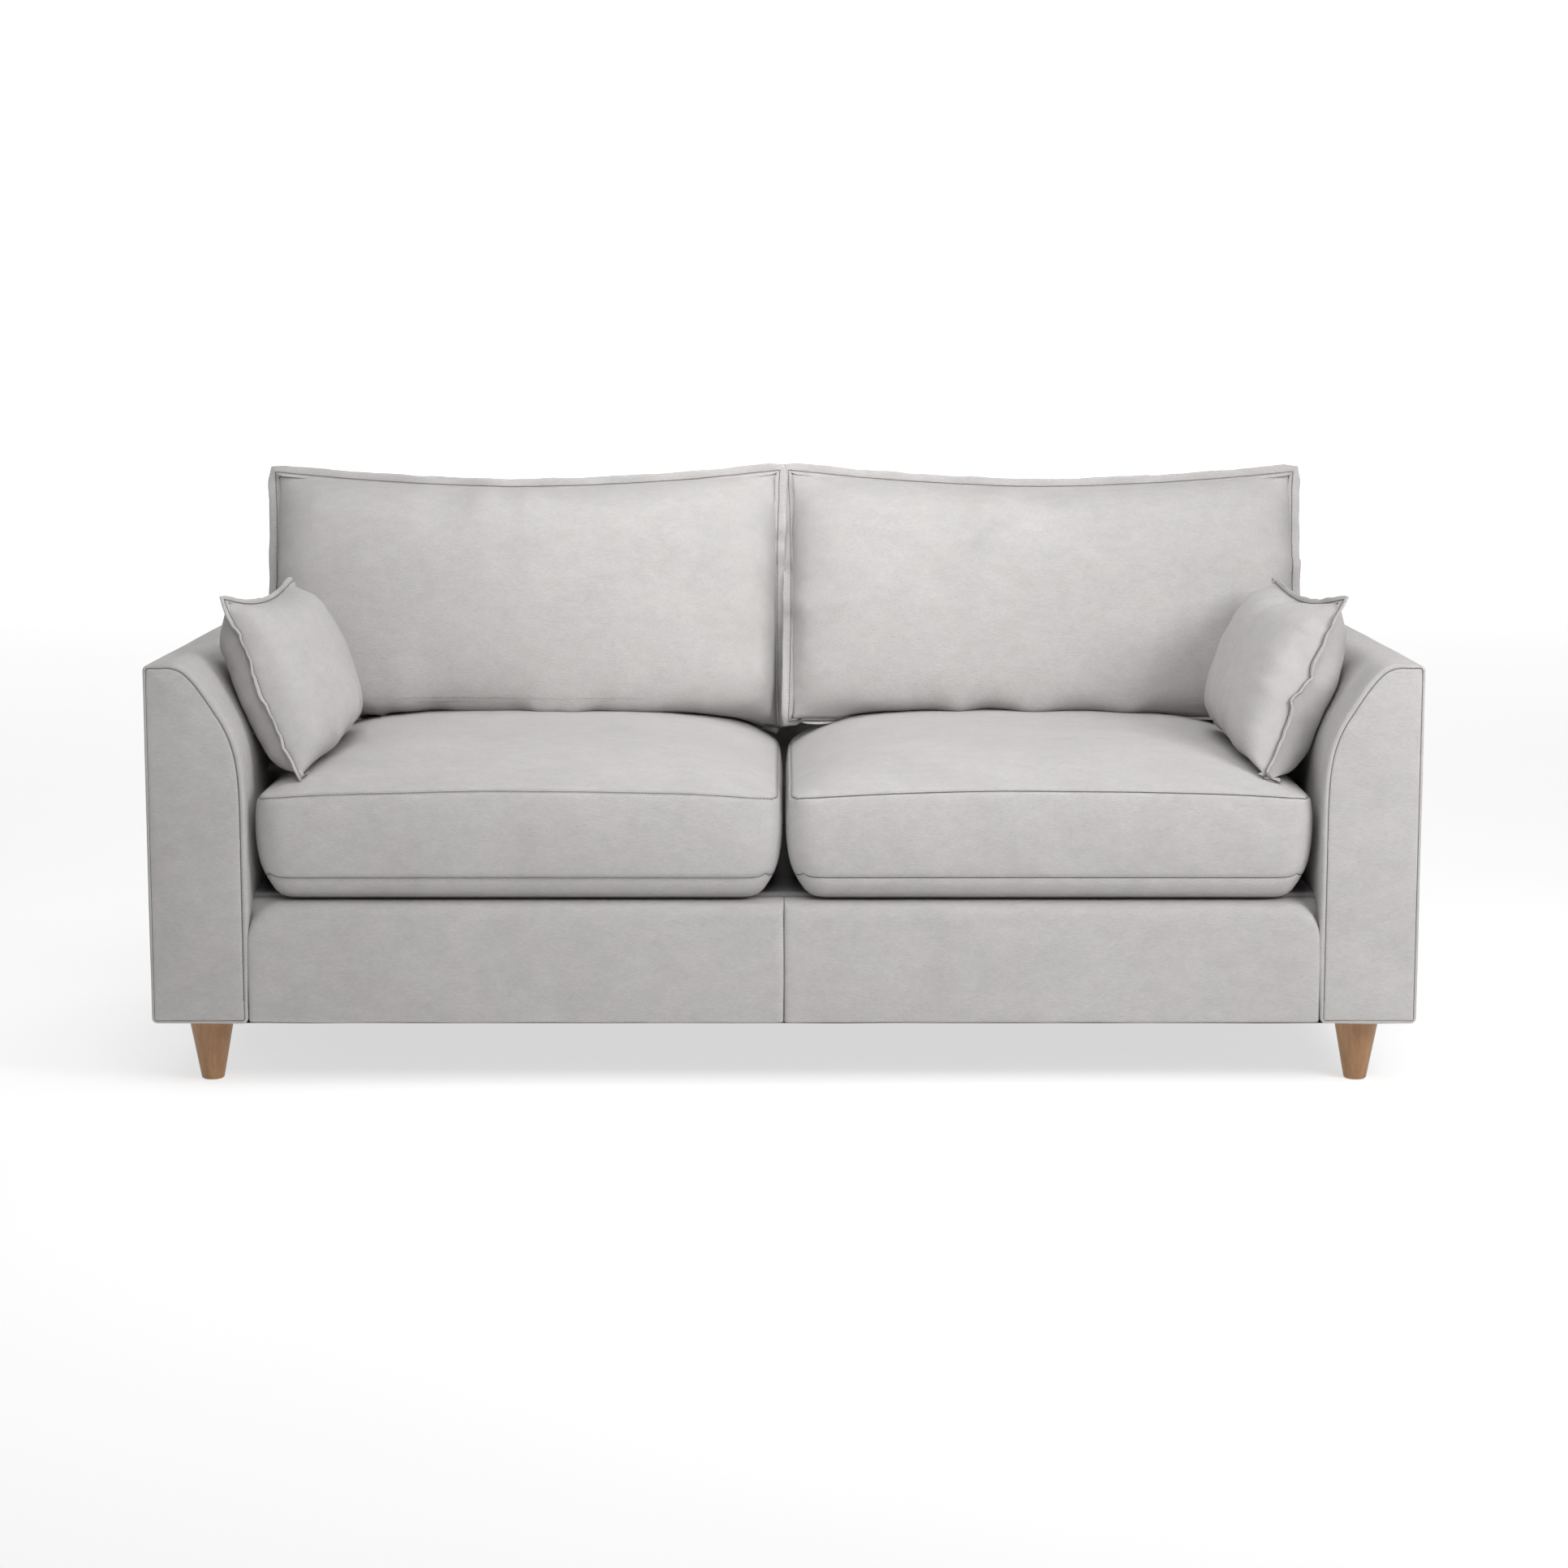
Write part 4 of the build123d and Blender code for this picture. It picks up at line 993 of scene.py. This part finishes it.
def flange(name, edge, normal, width, body, fold, seed, phase):
    """Flat double edge sewn round a cushion, with a wavy rim and a line of stitches."""
    count = len(edge)
    tangent = np.roll(edge, -1, 0) - np.roll(edge, 1, 0)
    tangent /= np.linalg.norm(tangent, axis=1)[:, None]
    out = np.cross(tangent, normal)
    centre = edge.mean(0)
    if np.mean(np.einsum("ij,ij->i", out, edge - centre)) < 0:
        out = -out
    under = smooth_step((-out[:, 2] - 0.75) / 0.2)[:, None]
    for _ in range(4):
        under = (np.roll(under, 1, 0) + under + np.roll(under, -1, 0)) / 3
    out = out * (1 - under) + np.array(fold) * under
    out /= np.linalg.norm(out, axis=1)[:, None]
    steps = np.linalg.norm(np.roll(edge, -1, 0) - edge, axis=1)
    along = np.concatenate([[0], np.cumsum(steps)[:-1]])
    wave = 0.0018 * np.sin(along / 0.021 + phase) + 0.0030 * wobble(edge, 0.045, seed)
    ripple = 0.0016 * wobble(edge, 0.030, seed + 5)
    flip = np.sign(np.einsum("ij,j->i", np.cross(tangent, out), normal) + 1e-9)[:, None]
    section = [
        (-0.0060, 0.0052),
        (-0.0012, 0.0014),
        (0.0010, 0.0012),
        (0.0040, 0.0023),
        (0.75, 0.0019),
        (0.97, 0.0013),
        (1.0, 0.0),
        (0.97, -0.0013),
        (0.75, -0.0019),
        (0.0040, -0.0023),
        (0.0010, -0.0012),
        (-0.0012, -0.0014),
        (-0.0060, -0.0052),
    ]
    rings = []
    for reach, height in section:
        far = reach * (width + ripple) if reach > 0.1 else np.full(count, reach)
        share = np.clip(far / width, 0, 1) ** 1.3
        lift = height + wave * share
        face = normal * (1 - under) + np.cross(tangent, out) * under * flip
        ring = edge + out * far[:, None] + face * lift[:, None]
        ring[:, 2] = np.maximum(ring[:, 2], seat_top(ring[:, 0], ring[:, 1]) + 0.0012)
        rings.append(ring)
    points, faces = skin(rings, True)
    strip = add_piece(name + "_flange", points, faces, CLOTH_X)
    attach(strip, body)
    for label, sign in (("front", 1), ("rear", -1)):
        path = edge + out * 0.0014 + normal * (0.0021 * sign + wave * 0.06)[:, None]
        thread(name + "_" + label + "_stitches", path, 0.0006, THREAD_AND_SEAM_SHADE, body, closed=True)
    return strip


def surface_line(sheet, axis, stations, level):
    """Points of a cushion's face at one height, at given places along x or y."""
    half = sheet.shape[1] // 2
    rows = []
    for column in sheet:
        first = int(np.argmin(column[:half, 2]))
        rising = column[first : first + half]
        rows.append([np.interp(level, rising[:, 2], rising[:, k]) for k in range(3)])
    rows = np.array(rows)
    rows = rows[np.argsort(rows[:, axis])]
    return np.stack([np.interp(stations, rows[:, axis], rows[:, k]) for k in range(3)], 1)


ZIP_PITCH = 0.0026
ROW_SHIFT = 0.0007
TOOTH = [(-0.0008, -0.0014), (0.0008, -0.0014), (0.0008, 0.0014), (-0.0008, 0.0014)]
TOOTH_FACES = [(0, 3, 2, 1), (4, 5, 6, 7), (0, 1, 5, 4), (1, 2, 6, 5), (2, 3, 7, 6), (3, 0, 4, 7)]


def add_zip(node, body, strips, blocks):
    """Zip on a cushion: two woven tapes and two rows of teeth. A block is one tooth's corners."""
    points, faces = [], []
    for rings in strips:
        strip, sides = skin(rings, False)
        faces += [tuple(i + len(points) for i in f) for f in sides]
        points += list(strip)
    tape = add_piece(node + "_tape", points, faces, FINISHES["zip_tape"])
    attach(tape, body)
    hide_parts(node)
    points, faces = [], []
    for block in blocks:
        faces += [tuple(len(points) + i for i in f) for f in TOOTH_FACES]
        points += block
    teeth = add_piece(node + "_teeth", points, faces, FINISHES["zip_metal"])
    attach(teeth, body)


def cushion_zip(node, body, sheet, axis, level, outward, gap):
    """Zip laid on the first face of a soft cushion's sheet, its slider at the start of the run.
    A known fault: on the left back and right scatter cushions that face is the one seen from
    the front, while outward points to the hidden one, so their zips lie inside the filling."""
    low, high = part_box(node)
    start, end = low[axis], high[axis]
    stations = np.linspace(start, end, 90)
    outward = np.array(outward, float)
    strips = []
    for heights in ((-0.009, -0.0014), (0.0014, 0.009)):
        lower, upper = [surface_line(sheet, axis, stations, level + dz) for dz in heights]
        bottom = [lower + outward * 0.0004, lower + outward * 0.0011]
        top = [upper + outward * 0.0013, upper + outward * 0.0004]
        strips.append(bottom + top)
    along = np.arange(start + ZIP_PITCH, end - ZIP_PITCH, ZIP_PITCH)
    centre = surface_line(sheet, axis, along, level) + outward * 0.0016
    run = np.zeros(3)
    run[axis] = 1
    rise = np.cross(outward, run)
    blocks = []
    for k, spot in enumerate(centre):
        spot = spot + rise * (ROW_SHIFT if k % 2 else -ROW_SHIFT)
        layers = [outward * depth for depth in (-0.0010, 0.0008)]
        blocks.append([spot + run * a + rise * b + layer for layer in layers for a, b in TOOTH])
    add_zip(node, body, strips, blocks)
    slider_node = node + "_slider"
    low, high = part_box(slider_node)
    source = bpy.data.objects[slider_node]
    mesh = source.data.copy()
    mesh.transform(source.matrix_world)
    middle = np.array((low + high) / 2)
    target = surface_line(sheet, axis, [middle[axis]], level)[0]
    reach = abs(outward @ np.array(high - low)) / 2
    shift = target + outward * (reach + gap) - middle
    points = coordinates(mesh) + shift
    set_coordinates(mesh, points)
    mesh.materials.clear()
    mesh.materials.append(FINISHES["zip_metal"])
    slider = bpy.data.objects.new(slider_node + "_puller", mesh)
    scene.collection.objects.link(slider)
    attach(slider, body + "_slider")
    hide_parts(slider_node)


def build_pillow(
    name,
    body,
    corners,
    bulge,
    width,
    height,
    cell,
    sag,
    calm,
    drop,
    full,
    folds,
    edge_width,
    rules,
    fold,
    seed,
    swap,
):
    """Stuffed cushion with a flange: sewn flat, blown up, fitted to its place.
    calm is how often creases are evened out, drop how far the filling has sunk."""
    plump, foot_plump = full
    across = int(round(width / cell))
    high = int(round(height / cell))
    points, faces, edge_ids, order = pillow_grid(across, high, width, height, 0.016)
    mesh = bpy.data.meshes.new(body)
    mesh.from_pydata(points.tolist(), [], faces)
    obj = bpy.data.objects.new(name, mesh)
    scene.collection.objects.link(obj)
    points[:, 1] += wobble(points, 0.07, seed) * 0.004 * (np.abs(points[:, 1]) > 1e-6)
    set_coordinates(mesh, points)
    shape = inflate(obj, 5.0, 26, slack=0.0, bending=0.5)
    shape = shape - (shape.max(0) + shape.min(0)) / 2
    shape = relax(shape, across, high, order, calm)
    shape[:, 1] *= bulge / np.abs(shape[:, 1]).max()
    fitted = fit_outline(shape, across, high, order, *sag)
    depth = np.abs(fitted[:, 1]) / bulge
    power = plump - foot_plump * smooth_step((0.3 - fitted[:, 2]) / 1.2)
    fitted[:, 1] = np.sign(fitted[:, 1]) * bulge * depth**power
    fitted[:, 2] -= drop * depth * (1 - fitted[:, 2] ** 2)
    fitted = relax(fitted, across, high, order, 5)
    placed, normal = between_corners(fitted, corners)
    near_edge = pucker(fitted, width, height, seed)
    placed += normal * (np.sign(fitted[:, 1]) * near_edge * folds)[:, None]
    placed = rules(placed)
    set_coordinates(mesh, placed)
    edge = placed[edge_ids].copy()
    edge += (edge.mean(0) - edge) * (0.0025 * wobble(edge, 0.03, seed + 9))[:, None]
    placed[edge_ids] = edge
    set_coordinates(mesh, placed)
    mesh.materials.append(CLOTH_X if abs(normal[1]) > 0.5 else CLOTH_Y)
    if swap:
        mesh.flip_normals()
    subdivide(obj)
    flange(name, edge, normal, edge_width, body, fold, seed, 0.7 * seed)
    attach(obj, body)
    return placed[order].reshape(across + 1, high + 1, 3)


def back_rules(points):
    """Keeps a back cushion off the hood behind it and the seat below it."""
    limit = hood_y(points[:, 2]) - 0.004
    over = np.maximum(points[:, 1] - limit, 0)
    points[:, 1] -= over
    floor = seat_top(points[:, 0], points[:, 1]) + 0.0025
    points[:, 2] = np.maximum(points[:, 2], floor)
    return points


def scatter_rules(points):
    """Keeps a scatter cushion off the arm beside it and the seat below it."""
    sign = np.sign(points[:, 0])
    limit = slope_x(points[:, 2]) - 0.0068 + np.maximum(points[:, 2] - ARM_TOP, 0) * 0.6
    points[:, 0] = sign * np.minimum(np.abs(points[:, 0]), limit)
    floor = seat_top(points[:, 0], points[:, 1]) + 0.0025
    points[:, 2] = np.maximum(points[:, 2], floor)
    return points


BACK_FLANGE = 0.0155
SCATTER_FLANGE = 0.010


def build_back_cushion(name, side):
    body = name + "_back_cushion"
    inner, outer = 0.0090, 0.903
    low, high = 0.497, 0.938
    lean = math.tan(math.radians(14))
    foot_y = 0.246 - (0.7375 - low) * lean
    head_y = 0.239 + (high - 0.7375) * lean
    overlap = 0.006 * side
    corners = [
        (inner * side, foot_y + overlap, low),
        (outer * side, foot_y, low + 0.008),
        (inner * side, head_y + overlap, high),
        (outer * side, head_y, high - 0.003),
    ]
    rear = build_pillow(
        body + "_soft",
        body,
        corners,
        bulge=0.112,
        width=0.90,
        height=0.47,
        cell=0.0125,
        sag=(0.125, 0.02, 0.010),
        calm=40,
        drop=0.03,
        full=(0.58, 0.35),
        folds=0.0035,
        edge_width=BACK_FLANGE,
        rules=back_rules,
        fold=(0, 1, 0.05),
        seed=20 + side,
        swap=side < 0,
    )
    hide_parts(body + "_cover", body + "_filling")
    cushion_zip(body + "_zip", body, rear, 0, 0.555, (0, 0.80, -0.60), 0.0042)


def build_scatter_cushion(name, side):
    body = name + "_scatter_cushion"
    corners = [
        (0.762 * side, -0.412, 0.485),
        (0.742 * side, 0.020, 0.523),
        (0.897 * side, -0.318, 0.758),
        (0.846 * side, 0.075, 0.758),
    ]
    outer = build_pillow(
        body + "_soft",
        body,
        corners,
        bulge=0.080,
        width=0.46,
        height=0.32,
        cell=0.0095,
        sag=(0.16, 0.03, 0.02),
        calm=5,
        drop=0.06,
        full=(0.78, 0.12),
        folds=0.0090,
        edge_width=SCATTER_FLANGE,
        rules=scatter_rules,
        fold=(side, 0, 0.15),
        seed=60 + side,
        swap=side > 0,
    )
    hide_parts(body + "_cover", body + "_filling")
    cushion_zip(body + "_zip", body, outer, 1, 0.545, (side, 0, 0), 0.0010)


# ------------------------------------------------------------------ zips, deck and dust cloth


def build_zip(node, body):
    """Flat zip on the rear of a seat cushion, where the CAD zip is."""
    low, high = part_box(node)
    middle_z, half_z = (low.z + high.z) / 2, (high.z - low.z) / 2
    y0, y1 = low.y, high.y
    section = [(0.0016, y0), (0.0016, y1), (half_z * 0.5, y1 + 0.0002), (half_z, y1), (half_z, y0)]
    xs = np.linspace(low.x, high.x, 121)
    strips = []
    for sign in (-1, 1):
        wave = 0.0004 * np.sin(xs * 55 + sign)
        rings = []
        for dz, y in section:
            z = middle_z + sign * (dz + wave * (dz > 0.002))
            rings.append(np.stack([xs, np.full(len(xs), y), z], 1))
        strips.append(rings)
    blocks = []
    for k in range(int((high.x - low.x) / ZIP_PITCH) - 2):
        x = low.x + ZIP_PITCH * (k + 1)
        z = middle_z + (ROW_SHIFT if k % 2 else -ROW_SHIFT)
        blocks.append([(x + a, y, z + b) for y in (y0, y1 + 0.0008) for a, b in TOOTH])
    add_zip(node, body, strips, blocks)


def build_cloth_sheet(name, node, z, sag, turned, material, seed):
    """Thin cloth pulled flat over a frame opening, with a little slack in the middle.
    turned is how far its front edge goes down over what it covers."""
    low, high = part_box(node)
    xs = np.linspace(low.x, high.x, 91)
    rings = []
    for drop in np.linspace(turned, 0.002, 5) if turned else []:
        rings.append(np.stack([xs, np.full(len(xs), low.y - 0.0012), np.full(len(xs), z - drop)], 1))
    for y in np.linspace(low.y, high.y, 41):
        spots = np.stack([xs, np.full(len(xs), y), np.zeros(len(xs))], 1)
        share = (y - (low.y + high.y) / 2) / (high.y - low.y)
        hang = np.cos(math.pi * share) * np.abs(np.cos(xs * 3.2))
        height = z - sag * hang + wobble(spots, 0.10, seed) * min(sag, 0.0006)
        rings.append(np.column_stack([xs, spots[:, 1], height]))
    points, faces = skin(rings, False)
    obj = add_piece(name, points, faces, material, outward=(0, 0, 1))
    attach(obj, "sofa_frame")
    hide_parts(node)


# ------------------------------------------------------------------ room


def build_room():
    """Pale floor, even white surround, four soft area lights and a broad one from above."""
    reach = 9
    floor = add_piece(
        "floor",
        [(-reach, -reach, 0), (reach, -reach, 0), (reach, reach, 0), (-reach, reach, 0)],
        [(0, 1, 2, 3)],
        glowing("pale_floor", 0.50, 0.64),
        outward=(0, 0, 1),
    )
    wall = add_piece(
        "backdrop",
        [(-reach, reach, -1), (reach, reach, -1), (reach, reach, 9), (-reach, reach, 9)],
        [(0, 1, 2, 3)],
        glowing("pale_backdrop", 0.30, 1.05),
        outward=(0, -1, 0),
    )
    world = bpy.data.worlds.new("surround")
    world.use_nodes = True
    world.node_tree.nodes["Background"].inputs["Color"].default_value = (1, 1, 1, 1)
    world.node_tree.nodes["Background"].inputs["Strength"].default_value = 0.14
    scene.world = world
    scene.view_settings.view_transform = "Standard"
    add_light("over_the_front", (0.05, -0.75, 2.30), (0.0, 0.1, 0.55), 1.7, 20)
    add_light("back_wash", (-0.1, -1.25, 1.85), (-0.1, 0.22, 0.86), 1.5, 4.4, 68)
    add_light("right_key", (1.9, -1.7, 1.5), (0.5, -0.3, 0.4), 0.9, 30)
    add_light("left_fill", (-2.7, -1.5, 2.3), (-0.3, 0, 0.5), 1.4, 3)
    add_sky_light(0.50)


def add_sky_light(power):
    """Broad, even light from straight above, a little towards the front."""
    data = bpy.data.lights.new("sky", "SUN")
    data.energy = power
    data.angle = math.radians(50)
    light = bpy.data.objects.new("sky", data)
    light.rotation_euler = (math.radians(-6), 0, 0)
    scene.collection.objects.link(light)


def glowing(name, tone, glow):
    """Matt white that also gives off a little light, so that shadows on it stay pale."""
    material, tree, shader, coords = new_material(name, 0.95, 0.1)
    cloud = noise_at(tree, coords, (1.5, 1.5, 1.5), 2.0)
    light = tone * 1.02
    color = ramp(tree, cloud, [(0.3, (tone, tone, tone)), (0.7, (light, light, light))])
    tree.links.new(color, shader.inputs["Base Color"])
    shader.inputs["Emission Color"].default_value = (1, 1, 1, 1)
    shader.inputs["Emission Strength"].default_value = glow
    return material


def add_light(name, place, aim, size, power, spread=180):
    data = bpy.data.lights.new(name, "AREA")
    data.shape = "SQUARE"
    data.size = size
    data.energy = power
    data.spread = math.radians(spread)
    light = bpy.data.objects.new(name, data)
    light.visible_camera = False
    light.location = place
    light.rotation_euler = (Vector(aim) - Vector(place)).to_track_quat("-Z", "Y").to_euler()
    scene.collection.objects.link(light)


# ------------------------------------------------------------------ build

finish_frame_parts()
for name, side in SIDES.items():
    build_arm(name, side)
    build_border(name, side)
    build_seat(name, side)
    build_back_cushion(name, side)
    build_scatter_cushion(name, side)
    build_zip(name + "_seat_cushion_zip", name + "_seat_cushion")
build_border_seam()
build_cloth_sheet(
    "deck_sheet",
    "deck_cloth",
    z=DECK - 0.0003,
    sag=0.0002,
    turned=0.034,
    material=FINISHES["deck_fabric"],
    seed=71,
)
build_cloth_sheet(
    "dust_sheet",
    "dust_cover",
    z=BASE + 0.0004,
    sag=0.0030,
    turned=0,
    material=FINISHES["dust_cloth"],
    seed=72,
)
build_hood()
build_outside_back()
build_room()

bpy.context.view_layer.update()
